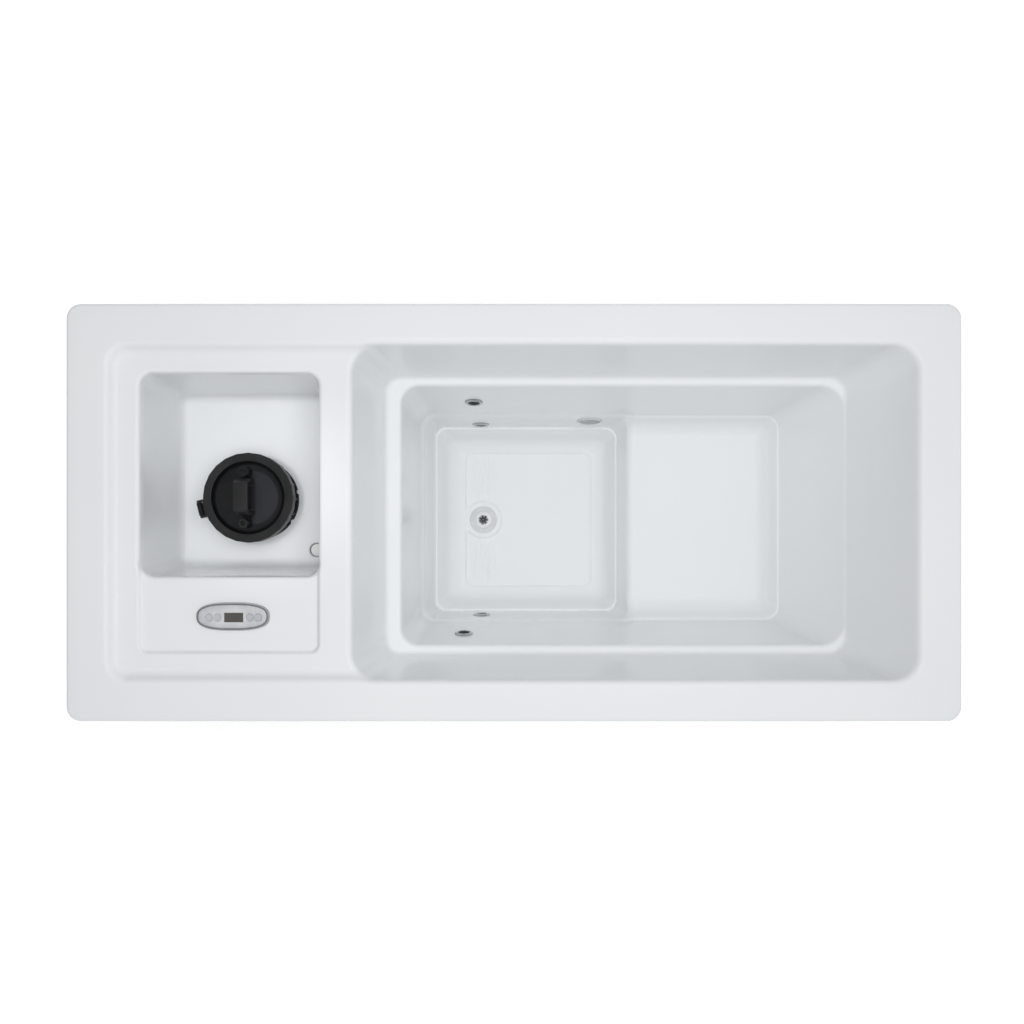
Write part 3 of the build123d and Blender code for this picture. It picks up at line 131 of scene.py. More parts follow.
def plastic(name, col, col2=None, rough=(0.35, 0.5), scale=40.0, grain=0.0, metallic=0.0,
            spec=0.5, coat=0.0, stretch=(1, 1, 1), bump_d=0.00008, dust=None):
    """Moulded or coated surface: slow colour drift, rougher and smoother patches, fine grain."""
    m, nt, b = new_mat(name)
    v = coords(nt, stretch)
    col2 = col2 or tuple(min(1.0, c * 1.12 + 0.004) for c in col)
    big = noise(nt, v, scale * 0.25, 3.0)
    fine = noise(nt, v, scale * 12.0, 3.0)
    base = ramp(nt, big, col, col2)
    if dust:
        smear = noise(nt, v, scale * 1.2, 6.0, 0.7)
        mixn = nt.nodes.new("ShaderNodeMix")
        mixn.data_type = "RGBA"
        f = span(nt, smear, 0.0, dust[1], 0.5, 0.8)
        nt.links.new(f, mixn.inputs["Factor"])
        nt.links.new(base, mixn.inputs["A"])
        mixn.inputs["B"].default_value = (*dust[0], 1)
        base = mixn.outputs["Result"]
    nt.links.new(base, b.inputs["Base Color"])
    nt.links.new(span(nt, noise(nt, v, scale, 5.0), rough[0], rough[1]), b.inputs["Roughness"])
    b.inputs["Metallic"].default_value = metallic
    b.inputs["Specular IOR Level"].default_value = spec
    if coat:
        b.inputs["Coat Weight"].default_value = coat
        b.inputs["Coat Roughness"].default_value = 0.08
    hs = [(fine, 0.35 + grain, bump_d)]
    if grain:
        hs.append((noise(nt, v, scale * 4.0, 2.0), grain, bump_d * 4))
    bump(nt, b, hs)
    return m


def metal(name, col, rough=(0.08, 0.2), brushed=None, scale=60.0):
    m, nt, b = new_mat(name)
    v = coords(nt, brushed or (1, 1, 1))
    base = ramp(nt, noise(nt, v, scale * 0.3, 4.0), tuple(c * 0.9 for c in col), col)
    nt.links.new(base, b.inputs["Base Color"])
    b.inputs["Metallic"].default_value = 1.0
    nt.links.new(span(nt, noise(nt, v, scale, 6.0, 0.65), rough[0], rough[1]), b.inputs["Roughness"])
    bump(nt, b, [(noise(nt, v, scale * 6, 3.0), 0.15, 0.00003)])
    return m


def acrylic():
    """Glossy white acrylic: a very slightly bluish white, faint orange peel, hazier where it
    has been wiped, a trace of water marks low in the basin."""
    m, nt, b = new_mat("acrylic_white")
    v = coords(nt)
    base = ramp(nt, noise(nt, v, 2.2, 3.0), (0.886, 0.904, 0.918), (0.904, 0.919, 0.931))
    tc = nt.nodes.new("ShaderNodeTexCoord")
    sep = nt.nodes.new("ShaderNodeSeparateXYZ")
    nt.links.new(tc.outputs["Object"], sep.inputs["Vector"])
    low = span(nt, sep.outputs["Z"], 1.0, 0.0, 0.10, 0.45)
    marks = noise(nt, v, 9.0, 8.0, 0.62, 0.6)
    spots = span(nt, marks, 0.0, 1.0, 0.56, 0.75)
    mul = nt.nodes.new("ShaderNodeMath"); mul.operation = "MULTIPLY"
    nt.links.new(low, mul.inputs[0]); nt.links.new(spots, mul.inputs[1])
    sc = nt.nodes.new("ShaderNodeMath"); sc.operation = "MULTIPLY"
    sc.inputs[1].default_value = 0.10
    nt.links.new(mul.outputs[0], sc.inputs[0])
    mixn = nt.nodes.new("ShaderNodeMix"); mixn.data_type = "RGBA"
    nt.links.new(sc.outputs[0], mixn.inputs["Factor"])
    nt.links.new(base, mixn.inputs["A"])
    mixn.inputs["B"].default_value = (0.80, 0.83, 0.84, 1)
    nt.links.new(mixn.outputs["Result"], b.inputs["Base Color"])
    nt.links.new(span(nt, noise(nt, v, 5.0, 6.0, 0.6), 0.10, 0.22), b.inputs["Roughness"])
    b.inputs["IOR"].default_value = 1.49
    b.inputs["Specular IOR Level"].default_value = 0.5
    b.inputs["Coat Weight"].default_value = 0.25
    b.inputs["Coat Roughness"].default_value = 0.05
    bump(nt, b, [(noise(nt, v, 120.0, 2.0), 0.08, 0.0002), (noise(nt, v, 14.0, 2.0), 0.05, 0.002)])
    return m


def cladding(name="cladding", along="x"):
    """Wood-grain composite boards: grain along the board, tone changing from board to board,
    scuffed light marks."""
    m, nt, b = new_mat(name)
    stretch = (0.7, 9.0, 9.0) if along == "x" else (9.0, 0.7, 9.0)
    v = coords(nt, stretch)
    tc = nt.nodes.new("ShaderNodeTexCoord")
    sep = nt.nodes.new("ShaderNodeSeparateXYZ")
    nt.links.new(tc.outputs["Object"], sep.inputs["Vector"])
    row = nt.nodes.new("ShaderNodeMath"); row.operation = "SNAP"
    off = nt.nodes.new("ShaderNodeMath"); off.operation = "SUBTRACT"
    off.inputs[1].default_value = 0.008
    nt.links.new(sep.outputs["Z"], off.inputs[0])
    nt.links.new(off.outputs[0], row.inputs[0])
    row.inputs[1].default_value = 0.138
    wn = nt.nodes.new("ShaderNodeTexWhiteNoise"); wn.noise_dimensions = "1D"
    nt.links.new(row.outputs[0], wn.inputs["W"])
    grain = noise(nt, v, 9.0, 8.0, 0.62, 0.8)
    fine = noise(nt, v, 42.0, 6.0, 0.7)
    add = nt.nodes.new("ShaderNodeMath"); add.operation = "MULTIPLY_ADD"
    nt.links.new(wn.outputs["Value"], add.inputs[0])
    add.inputs[1].default_value = 0.22
    nt.links.new(grain, add.inputs[2])
    base = ramp(nt, add.outputs[0], (0.060, 0.064, 0.069), (0.135, 0.139, 0.145), 0.32, 0.86)
    scuff = noise(nt, coords(nt), 3.0, 9.0, 0.7)
    mixn = nt.nodes.new("ShaderNodeMix"); mixn.data_type = "RGBA"
    nt.links.new(span(nt, scuff, 0.0, 0.12, 0.60, 0.80), mixn.inputs["Factor"])
    nt.links.new(base, mixn.inputs["A"])
    mixn.inputs["B"].default_value = (0.28, 0.28, 0.28, 1)
    nt.links.new(mixn.outputs["Result"], b.inputs["Base Color"])
    nt.links.new(span(nt, fine, 0.42, 0.62), b.inputs["Roughness"])
    bump(nt, b, [(grain, 0.35, 0.0010), (fine, 0.4, 0.0003)])
    return m


def timber():
    m, nt, b = new_mat("timber")
    v = coords(nt, (1.0, 6.0, 6.0))
    g = noise(nt, v, 10.0, 8.0, 0.6, 1.2)
    nt.links.new(ramp(nt, g, (0.30, 0.19, 0.10), (0.56, 0.40, 0.24)), b.inputs["Base Color"])
    nt.links.new(span(nt, g, 0.6, 0.8), b.inputs["Roughness"])
    bump(nt, b, [(g, 0.4, 0.0006)])
    return m


def lens_mat():
    m, nt, b = new_mat("lens")
    v = coords(nt)
    nt.links.new(ramp(nt, noise(nt, v, 60.0, 3.0), (0.42, 0.45, 0.47), (0.55, 0.58, 0.60)),
                 b.inputs["Base Color"])
    b.inputs["Transmission Weight"].default_value = 0.25
    b.inputs["IOR"].default_value = 1.49
    nt.links.new(span(nt, noise(nt, v, 90.0, 4.0), 0.12, 0.30), b.inputs["Roughness"])
    wave = nt.nodes.new("ShaderNodeTexWave")
    wave.inputs["Scale"].default_value = 120.0
    wave.wave_profile = "SIN"
    nt.links.new(v, wave.inputs["Vector"])
    bump(nt, b, [(wave.outputs["Fac"], 0.3, 0.0003)])
    return m


M = {
    "acrylic": acrylic(),
    "timber": timber(),
    "cladding": cladding("cladding_long", "x"),
    "cladding_end": cladding("cladding_end", "y"),
    "trim": plastic("trim_dark", (0.030, 0.031, 0.033), (0.045, 0.046, 0.048), (0.38, 0.55), 25, 0.2,
                    dust=((0.20, 0.20, 0.20), 0.10)),
    "base_tray": plastic("base_tray", (0.018, 0.018, 0.019), None, (0.6, 0.8), 20, 0.5,
                         dust=((0.20, 0.19, 0.17), 0.25)),
    "fixings": metal("zinc", (0.62, 0.62, 0.62), (0.25, 0.45)),
    "hardware": metal("satin_steel", (0.55, 0.55, 0.56), (0.22, 0.38), (1, 8, 8)),
    "filter_body": plastic("filter_body", (0.006, 0.0062, 0.007), (0.010, 0.0105, 0.012), (0.34, 0.48), 55, 0.15,
                           spec=0.32, dust=((0.08, 0.08, 0.08), 0.05)),
    "filter_ring": plastic("filter_ring", (0.014, 0.014, 0.0145), (0.022, 0.022, 0.023), (0.40, 0.52), 60, 0.2,
                           spec=0.42, dust=((0.10, 0.10, 0.10), 0.06)),
    "filter_lid": plastic("filter_lid", (0.006, 0.0062, 0.007), (0.010, 0.0102, 0.0115), (0.36, 0.46), 50, 0.15,
                          spec=0.30, dust=((0.07, 0.07, 0.075), 0.05)),
    "seal": plastic("seal_rubber", (0.012, 0.012, 0.012), None, (0.6, 0.8), 50, 0.3),
    "filter_media": plastic("filter_media", (0.74, 0.75, 0.76), (0.84, 0.85, 0.86), (0.85, 0.95), 90, 0.6,
                            spec=0.1, bump_d=0.0002),
    "chrome": metal("chrome", (0.66, 0.67, 0.68), (0.05, 0.13)),
    "panel_face": plastic("panel_face", (0.60, 0.61, 0.64), (0.80, 0.81, 0.82), (0.16, 0.26), 90, 0.05, metallic=0.15, coat=0.4),
    "panel_button": plastic("panel_button", (0.52, 0.53, 0.57), (0.60, 0.61, 0.64), (0.3, 0.42), 70, 0.1, metallic=0.1),
    "lcd": plastic("lcd", (0.075, 0.068, 0.060), (0.095, 0.087, 0.078), (0.08, 0.16), 60, 0.0, coat=1.0),
    "panel_box": plastic("panel_box", (0.03, 0.03, 0.032), None, (0.4, 0.6), 40, 0.3),
    "plug": plastic("plug_white", (0.85, 0.86, 0.86), (0.90, 0.90, 0.90), (0.15, 0.28), 60, 0.05),
    "nozzle": plastic("nozzle", (0.018, 0.019, 0.021), (0.040, 0.042, 0.045), (0.14, 0.26), 90, 0.1, coat=0.5),
    "lens": lens_mat(),
    "fitting_body": plastic("fitting_white", (0.62, 0.63, 0.63), None, (0.25, 0.4), 50, 0.15),
    "drain_white": plastic("drain_white", (0.66, 0.68, 0.69), (0.74, 0.75, 0.76), (0.16, 0.3), 70, 0.1),
    "pump_plastic": plastic("pump_plastic", (0.02, 0.02, 0.022), None, (0.4, 0.6), 40, 0.35),
    "motor": plastic("motor_paint", (0.035, 0.045, 0.065), None, (0.3, 0.5), 40, 0.3, coat=0.2,
                     dust=((0.2, 0.2, 0.2), 0.12)),
    "sheet_metal": plastic("sheet_metal", (0.34, 0.36, 0.38), None, (0.35, 0.5), 30, 0.25,
                           dust=((0.5, 0.5, 0.5), 0.12)),
    "compressor": plastic("compressor_black", (0.012, 0.012, 0.012), None, (0.2, 0.35), 30, 0.2, coat=0.4),
    "fins": metal("fins", (0.72, 0.73, 0.75), (0.3, 0.45)),
    "fan": plastic("fan", (0.02, 0.02, 0.02), None, (0.4, 0.55), 50, 0.2),
    "pvc": plastic("pvc", (0.62, 0.63, 0.64), None, (0.3, 0.45), 40, 0.15, dust=((0.4, 0.4, 0.38), 0.12)),
    "valve": metal("brass", (0.62, 0.47, 0.20), (0.22, 0.4)),
    "lever": plastic("lever_red", (0.36, 0.02, 0.015), None, (0.35, 0.5), 60, 0.1, coat=0.2),
    "exchanger": plastic("exchanger", (0.03, 0.03, 0.033), None, (0.4, 0.6), 40, 0.3),
}


def radial(nt, cx, cy):
    """Object-space distance and bearing about an upright axis."""
    tc = nt.nodes.new("ShaderNodeTexCoord")
    sub = nt.nodes.new("ShaderNodeVectorMath")
    sub.operation = "SUBTRACT"
    sub.inputs[1].default_value = (cx, cy, 0.0)
    nt.links.new(tc.outputs["Object"], sub.inputs[0])
    sep = nt.nodes.new("ShaderNodeSeparateXYZ")
    nt.links.new(sub.outputs["Vector"], sep.inputs["Vector"])

    def math_node(op, a, b=None):
        n = nt.nodes.new("ShaderNodeMath")
        n.operation = op
        for i, v in enumerate((a, b)):
            if v is None:
                continue
            if isinstance(v, (int, float)):
                n.inputs[i].default_value = v
            else:
                nt.links.new(v, n.inputs[i])
        return n.outputs[0]

    x, y, z = sep.outputs["X"], sep.outputs["Y"], sep.outputs["Z"]
    r = math_node("SQRT", math_node("ADD", math_node("MULTIPLY", x, x), math_node("MULTIPLY", y, y)))
    return x, y, z, r, math_node


def tint(nt, b, mask, col, rough=None):
    """Blends another colour over a material where mask is 1; the rough argument is not used."""
    src = b.inputs["Base Color"].links[0].from_socket
    mixn = nt.nodes.new("ShaderNodeMix")
    mixn.data_type = "RGBA"
    nt.links.new(mask, mixn.inputs["Factor"])
    nt.links.new(src, mixn.inputs["A"])
    mixn.inputs["B"].default_value = (*col, 1)
    nt.links.new(mixn.outputs["Result"], b.inputs["Base Color"])


def strainer_mat():
    """Bright polished disc; its lobed openings are painted near-black, painted shade standing in for the dark inside of
    the drain.
    """
    m = plastic("strainer", (0.86, 0.87, 0.88), (0.93, 0.93, 0.94), (0.16, 0.26), 60, 0.05, metallic=0.25, coat=0.3)
    nt, b = m.node_tree, m.node_tree.nodes["Principled BSDF"]
    x, y, z, r, mn = radial(nt, -0.1113, 0.0)
    lobes = mn("MULTIPLY", mn("COSINE", mn("MULTIPLY", mn("ARCTAN2", y, x), 7.0)), 0.0019)
    edge = mn("SUBTRACT", mn("ADD", lobes, 0.0098), r)
    dark = span(nt, edge, 0.0, 1.0, -0.0004, 0.0004)
    boss = span(nt, r, 0.62, 1.0, 0.0016, 0.0028)
    # painted shade: the seven lobes round the central boss are painted near-black
    tint(nt, b, mn("MULTIPLY", dark, boss), (0.03, 0.033, 0.036))
    return m


def plug_mat():
    """White fitting, with painted shade: the wall of its hole is painted dark grey."""
    m = plastic("plug_white", (0.90, 0.91, 0.91), (0.95, 0.95, 0.95), (0.15, 0.28), 60, 0.05)
    nt, b = m.node_tree, m.node_tree.nodes["Principled BSDF"]
    x, y, z, r, mn = radial(nt, -0.515, -0.088)
    # painted shade on the wall of the hole, from its rim downwards
    mask = mn("MULTIPLY", span(nt, r, 0.0, 0.9, 0.0150, 0.0162), span(nt, z, 1.0, 0.35, 0.5780, 0.5790))
    tint(nt, b, mask, (0.16, 0.16, 0.16))
    return m


def lid_mat():
    """Black moulding with a painted sheen: a lighter bluish segment beside the handle stands in for soft light
    reflected off its flat plateau; the border stays gloss black.
    """
    m = plastic("filter_lid", (0.006, 0.0062, 0.007), (0.010, 0.0102, 0.0115), (0.34, 0.44), 50, 0.15,
                spec=0.34, dust=((0.07, 0.07, 0.075), 0.05))
    nt, b = m.node_tree, m.node_tree.nodes["Principled BSDF"]
    x, y, z, r, mn = radial(nt, -0.6520, 0.041)
    # painted sheen: the plateau right of the handle is painted lighter and bluish
    painted_sheen_mask = mn("MULTIPLY", span(nt, r, 1.0, 0.0, 0.0650, 0.0675), span(nt, x, 0.0, 1.0, -0.002, 0.014))
    tint(nt, b, painted_sheen_mask, (0.022, 0.0225, 0.027))
    return m


M["strainer"] = strainer_mat()
M["plug"] = plug_mat()
M["filter_lid"] = lid_mat()
# painted shade: the bezel gets a darker copy of chrome, standing in for its dark reflections and shadowed gap
M["bezel"] = metal("bezel_chrome_painted_shade", (0.46, 0.46, 0.47), (0.05, 0.12))
M["ring_chrome"] = metal("ring_chrome", (0.52, 0.53, 0.54), (0.05, 0.14))
OWN = {"drain_strainer": "strainer", "control_bezel": "bezel", "jet_ring_a": "ring_chrome",
       "jet_ring_b": "ring_chrome", "return_fitting": "ring_chrome", "suction_fitting": "ring_chrome"}
SLOT = {s["node"]: s["material_slot"] for s in frame["record"]["subparts"]}


def mat_for(node):
    s = OWN.get(node, SLOT[node])
    if s == "cladding" and node in ("head_end_panel", "service_end_panel", "service_door"):
        return M["cladding_end"]
    return M[s]


def set_material(obj, mat):
    obj.data.materials.clear()
    obj.data.materials.append(mat)


for name, obj in N.items():
    mat = mat_for(name)
    if obj.material_slots:
        for slot in obj.material_slots:
            slot.material = mat
    else:
        obj.data.materials.append(mat)

BODY_OF = {n: b for b, ns in frame["record"]["behaviour"]["bodies"].items() for n in ns}


def add_piece(name, mesh, mat, body, replaces=()):
    obj = bpy.data.objects.new(name, mesh)
    scene.collection.objects.link(obj)
    set_material(obj, mat)
    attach(obj, body)
    if replaces:
        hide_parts(*replaces)
    return obj


def refine(node, width=0.0008, segments=2, angle=32.0):
    """A detailed stand-in for a CAD node: same shape, with its moulded or machined edges
    broken by a small radius."""
    src = N[node]
    me = src.data.copy()
    bm = bmesh.new()
    bm.from_mesh(me)
    bmesh.ops.remove_doubles(bm, verts=bm.verts, dist=1e-6)
    bmesh.ops.dissolve_limit(bm, angle_limit=math.radians(0.6), verts=bm.verts, edges=bm.edges,
                             delimit={"NORMAL"})
    for f in bm.faces:
        f.smooth = True
    bm.to_mesh(me)
    bm.free()
    obj = add_piece(node + "_finished", me, mat_for(node), BODY_OF[node], (node,))
    bev = obj.modifiers.new("edges", "BEVEL")
    bev.width = width
    bev.segments = segments
    bev.limit_method = "ANGLE"
    bev.angle_limit = math.radians(angle)
    bev.use_clamp_overlap = True
    bev.harden_normals = False
    dg = bpy.context.evaluated_depsgraph_get()
    final = bpy.data.meshes.new_from_object(obj.evaluated_get(dg))
    obj.modifiers.clear()
    old = obj.data
    obj.data = final
    bpy.data.meshes.remove(old)
    final.set_sharp_from_angle(angle=math.radians(50))
    return obj


# ---------------------------------------------------------------------------
# the tub shell: one smooth vacuum-formed skin
# ---------------------------------------------------------------------------
H = 860.0
T = 8.0


def union(a, b, r):
    u = np.maximum(r - a, 0.0)
    v = np.maximum(r - b, 0.0)
    return np.maximum(r, np.minimum(a, b)) - np.sqrt(u * u + v * v)


def cut(a, b, r):
    u = np.maximum(r + a, 0.0)
    v = np.maximum(r + b, 0.0)
    return np.minimum(-r, np.maximum(a, b)) + np.sqrt(u * u + v * v)


def walls(x, y, z, levels):
    """Distance outside a pit whose plan changes with depth. levels: depth, x0, x1, y0, y1,
    corner radius on the left, corner radius on the right."""
    d = H - z
    ds = [l[0] for l in levels]
    # the slopes run on beyond the last level, and stand upright above the first
    p = []
    for k in range(1, 7):
        v = np.interp(d, ds, [l[k] for l in levels])
        if levels[0][0] <= 0:
            a, b = levels[0], levels[1]
            v = np.where(d < a[0], a[k] + (d - a[0]) * (b[k] - a[k]) / (b[0] - a[0]), v)
        a, b = levels[-2], levels[-1]
        v = np.where(d > b[0], b[k] + (d - b[0]) * (b[k] - a[k]) / (b[0] - a[0]), v)
        p.append(v)
    x0, x1, y0, y1, rl, rr = p
    cx, cy = (x0 + x1) / 2, (y0 + y1) / 2
    r = np.maximum(np.where(x < cx, rl, rr), 4.0)
    qx = np.abs(x - cx) - (x1 - x0) / 2 + r
    qy = np.abs(y - cy) - (y1 - y0) / 2 + r
    return np.minimum(np.maximum(qx, qy), 0.0) + np.sqrt(np.maximum(qx, 0) ** 2 + np.maximum(qy, 0) ** 2) - r


def pit(x, y, z, levels, floor, r):
    return cut(walls(x, y, z, levels), (H - floor) - z, r)


DECK = [(0, -953, -300, -393.5, 393.5, 46, 46), (18, -943, -310, -382, 382, 42, 42)]
POCKET = [(16, -884, -461, -152, 330, 31, 31), (280, -858, -483, -128, 306, 26, 26)]
RECESS = [(18, -884.5, -460.5, -330.5, -100, 20, 20), (26, -882.5, -462.5, -328.5, -100, 19, 19)]
UPPER = [(0, -388.5, 951.5, -394.7, 394.7, 64, 60), (268, -335, 840, -354, 354, 40, 46)]
MIDDLE = [(258, -298, 843.5, -334.6, 334.6, 46, 62), (505, -265.4, 717.6, -281.8, 281.8, 34, 36)]
SEAT = [(503, -261, 716, -281, 281, 34, 35), (560, -250, 678, -248, 256, 26, 26)]
FOOT = [(501, -265.4, 318, -281.9, 281.9, 34, 30), (655, -245.6, 276.8, -264, 264, 28, 28)]
SUMP = [(652, -244, 275.5, -262.5, 262.5, 28, 28), (742, -201, 237.5, -222, 222, 22, 22)]


def fade(x, a, b):
    """1 before a, 0 after b, eased between."""
    t = np.clip((b - x) / (b - a), 0, 1)
    return t * t * (3 - 2 * t)


def air(x, y, z):
    """Signed distance to the free space over the shell, negative in the open."""
    f = H - z
    f = union(f, pit(x, y, z, DECK, 18, 11), 9.0)
    f = union(f, pit(x, y, z, RECESS, 26, 5), 5.0)
    f = union(f, pit(x, y, z, POCKET, 280, 20), 10.0)
    # the ledge dies away into the backrest at its far end
    keep = np.maximum(fade(x, 742.0, 806.0), 1.0 - fade(np.abs(y), 250.0, 322.0))
    basin = cut(walls(x, y, z, UPPER), (H - 268) - z, 9.0 * keep + 0.2)
    low = walls(x, y, z, MIDDLE)
    low = cut(low, (H - 512) - z, 0.0)
    seat = pit(x, y, z, SEAT, 560, 26)
    low = union(low, seat, 0.8)
    foot = cut(walls(x, y, z, FOOT), (H - 662) - z, 0.0)
    sump = pit(x, y, z, SUMP, 742, 30)
    foot = union(foot, sump, 0.8)
    low = union(low, foot, 15.0)
    basin = union(basin, low, 7.0 * keep + 0.2)
    return union(f, basin, 12.0)


def surface(x, y, level):
    """Height at which the distance to the open space is `level`, column by column."""
    lo = np.full(x.shape, 60.0)
    hi = np.full(x.shape, 861.0)
    for _ in range(23):
        mid = (lo + hi) / 2
        inside = air(x, y, mid) <= level
        hi = np.where(inside, mid, hi)
        lo = np.where(inside, lo, mid)
    return (lo + hi) / 2


def lines(ranges, lo, hi, coarse):
    """Grid lines: fine steps inside the given ranges, coarse ones between."""
    out = [lo]
    x = lo
    while x < hi - 1e-6:
        step = coarse
        nxt = hi
        for a, b, s in ranges:
            if a - 1e-6 <= x < b - 1e-6:
                step = min(step, s)
                nxt = min(nxt, b)
            elif x < a:
                nxt = min(nxt, a)
        n = max(1, math.ceil((nxt - x) / step - 1e-6))
        for i in range(1, n + 1):
            out.append(x + (nxt - x) * i / n)
        x = nxt
    return np.array(out)


FINE = 2.2
GX = lines([(-962, -850, FINE), (-492, -452, FINE), (-402, -50, FINE), (-50, 190, 7), (190, 345, FINE),
            (640, 962, FINE)], -985.0, 985.0, 14.0)
GY = lines([(-404, -184, FINE), (-156, -108, FINE), (-60, 60, FINE), (184, 404, FINE)], -425.0, 425.0, 9.0)
XX, YY = np.meshgrid(GX, GY, indexing="ij")
ZT = surface(XX, YY, 0.0)
ZB = surface(XX, YY, T)

# raised non-slip field on the footwell floor, relieved round the drain, with wavy ribs
fx0, fx1, fy0, fy1, fr = -162.5, 203.6, -195.0, 195.0, 24.0
qx = np.abs(XX - (fx0 + fx1) / 2) - (fx1 - fx0) / 2 + fr
qy = np.abs(YY - (fy0 + fy1) / 2) - (fy1 - fy0) / 2 + fr
dp = np.minimum(np.maximum(qx, qy), 0) + np.hypot(np.maximum(qx, 0), np.maximum(qy, 0)) - fr
dc = 54.0 - np.hypot(XX + 111.3, YY)
dp = cut(dp, dc, 14.0)
t = np.clip(0.5 - dp / 5.0, 0, 1)
lift = 4.5 * t * t * (3 - 2 * t)
zone = np.clip((-dp - 8) / 14.0, 0, 1) * np.clip((-66.0 - XX) / 14.0, 0, 1) * np.clip((np.abs(YY) - 60) / 14.0, 0, 1)
ribs = 0.9 * zone * np.sin(2 * math.pi * (XX + 3.0 * np.sin(YY / 11.0)) / 10.5)
ZT = ZT + np.where(ZT < 130.0, lift + ribs, 0.0)


def contour(half_x, half_y, r, pts):
    """Points of a rounded rectangle matched, by direction, to points of a plain one."""
    out = []
    for x, y in pts:
        s = max(abs(x) / half_x, abs(y) / half_y)
        px, py = x / s, y / s
        ax, ay = abs(px) - (half_x - r), abs(py) - (half_y - r)
        if ax > 0 and ay > 0:
            l = math.hypot(ax, ay)
            px = math.copysign(half_x - r + ax * r / l, px)
            py = math.copysign(half_y - r + ay * r / l, py)
        out.append((px, py))
    return out


def shell_mesh():
    nx, ny = len(GX), len(GY)
    verts = []
    top = np.arange(nx * ny).reshape(nx, ny)
    verts += list(zip(XX.ravel(), YY.ravel(), ZT.ravel()))
    bot = top + nx * ny
    verts += list(zip(XX.ravel(), YY.ravel(), ZB.ravel()))
    a, b, c, d = top[:-1, :-1], top[1:, :-1], top[1:, 1:], top[:-1, 1:]
    faces = np.stack([a, b, c, d], -1).reshape(-1, 4).tolist()
    a, b, c, d = bot[:-1, :-1], bot[:-1, 1:], bot[1:, 1:], bot[1:, :-1]
    faces += np.stack([a, b, c, d], -1).reshape(-1, 4).tolist()
    loop = [(i, 0) for i in range(nx - 1)] + [(nx - 1, j) for j in range(ny - 1)]
    loop += [(i, ny - 1) for i in range(nx - 1, 0, -1)] + [(0, j) for j in range(ny - 1, 0, -1)]
    plan = [(GX[i], GY[j]) for i, j in loop]
    R = 35.0
    prof = [(1018.0, 460.0, 16.0, H)]
    e = 8.0
    for k in range(0, 9):
        an = math.pi / 2 * k / 8
        s = e - e * math.sin(an)
        prof.append((1050 - s, 490 - s, R - s, H - e + e * math.cos(an)))
    prof.append((1050.0, 490.0, R, 830.0))
    for k in range(0, 5):
        an = math.pi / 2 * k / 4
        s = 3 - 3 * math.cos(an)
        prof.append((1050 - s, 490 - s, R - s, 805 - 3 * math.sin(an)))
    for k in range(0, 5):
        an = math.pi / 2 * k / 4
        s = 5 + 3 * math.sin(an)
        prof.append((1050 - s, 490 - s, R - s, 805 - 3 * math.cos(an)))
    prof.append((1042.0, 482.0, 27.0, 830.0))
    prof.append((1042.0, 482.0, 27.0, 852.0))
    prof.append((1016.0, 458.0, 12.0, 852.0))
    rings = [[int(top[i, j]) for i, j in loop]]
    for hx, hy, r, z in prof:
        base = len(verts)
        verts.extend((px, py, z) for px, py in contour(hx, hy, r, plan))
        rings.append(list(range(base, base + len(plan))))
    rings.append([int(bot[i, j]) for i, j in loop])
    n = len(plan)
    for p, q in zip(rings[:-1], rings[1:]):
        for i in range(n):
            k = (i + 1) % n
            faces.append([p[i], q[i], q[k], p[k]])
    me = bpy.data.meshes.new("tub_shell_skin")
    me.from_pydata([(x * MM, y * MM, z * MM) for x, y, z in verts], [], faces)
    me.update()
    bm = bmesh.new()
    bm.from_mesh(me)
    bmesh.ops.recalc_face_normals(bm, faces=bm.faces)
    if bm.calc_volume(signed=True) < 0:
        bmesh.ops.reverse_faces(bm, faces=bm.faces)
    bm.to_mesh(me)
    bm.free()
    return me


def cylinder_cutter(origin, axis, radius, back, front, count=48):
    axis = Vector(axis).normalized()
    q = axis.to_track_quat("Z", "Y")
    bm = bmesh.new()
    bmesh.ops.create_cone(bm, cap_ends=True, segments=count, radius1=radius, radius2=radius,
                          depth=back + front,
                          matrix=Matrix.Translation(Vector(origin) + axis * (front - back) / 2) @ q.to_matrix().to_4x4())
    return bm


def slot_cutter(cx, cy, length, width, z0, z1):
    bm = bmesh.new()
    pts = []
    r = width / 2
    for k in range(25):
        an = -math.pi / 2 + math.pi * k / 24
        pts.append((cx + length / 2 - r + r * math.cos(an), cy + r * math.sin(an)))
    for k in range(25):
        an = math.pi / 2 + math.pi * k / 24
        pts.append((cx - length / 2 + r + r * math.cos(an), cy + r * math.sin(an)))
    lo = [bm.verts.new((x, y, z0)) for x, y in pts]
    f = bm.faces.new(lo)
    r2 = bmesh.ops.extrude_face_region(bm, geom=[f])
    bmesh.ops.translate(bm, vec=(0, 0, z1 - z0), verts=[v for v in r2["geom"] if isinstance(v, bmesh.types.BMVert)])
    bmesh.ops.recalc_face_normals(bm, faces=bm.faces)
    return bm


up = (334.6 - 281.8) / 247.0
lo_ = (281.9 - 264.0) / 154.0


def spot(x, d, side, slope, y_top, d_top):
    th = math.atan(slope)
    y = side * (y_top - slope * (d - d_top))
    return (x * MM, y * MM, (H - d) * MM), (0, -side * math.cos(th), math.sin(th))


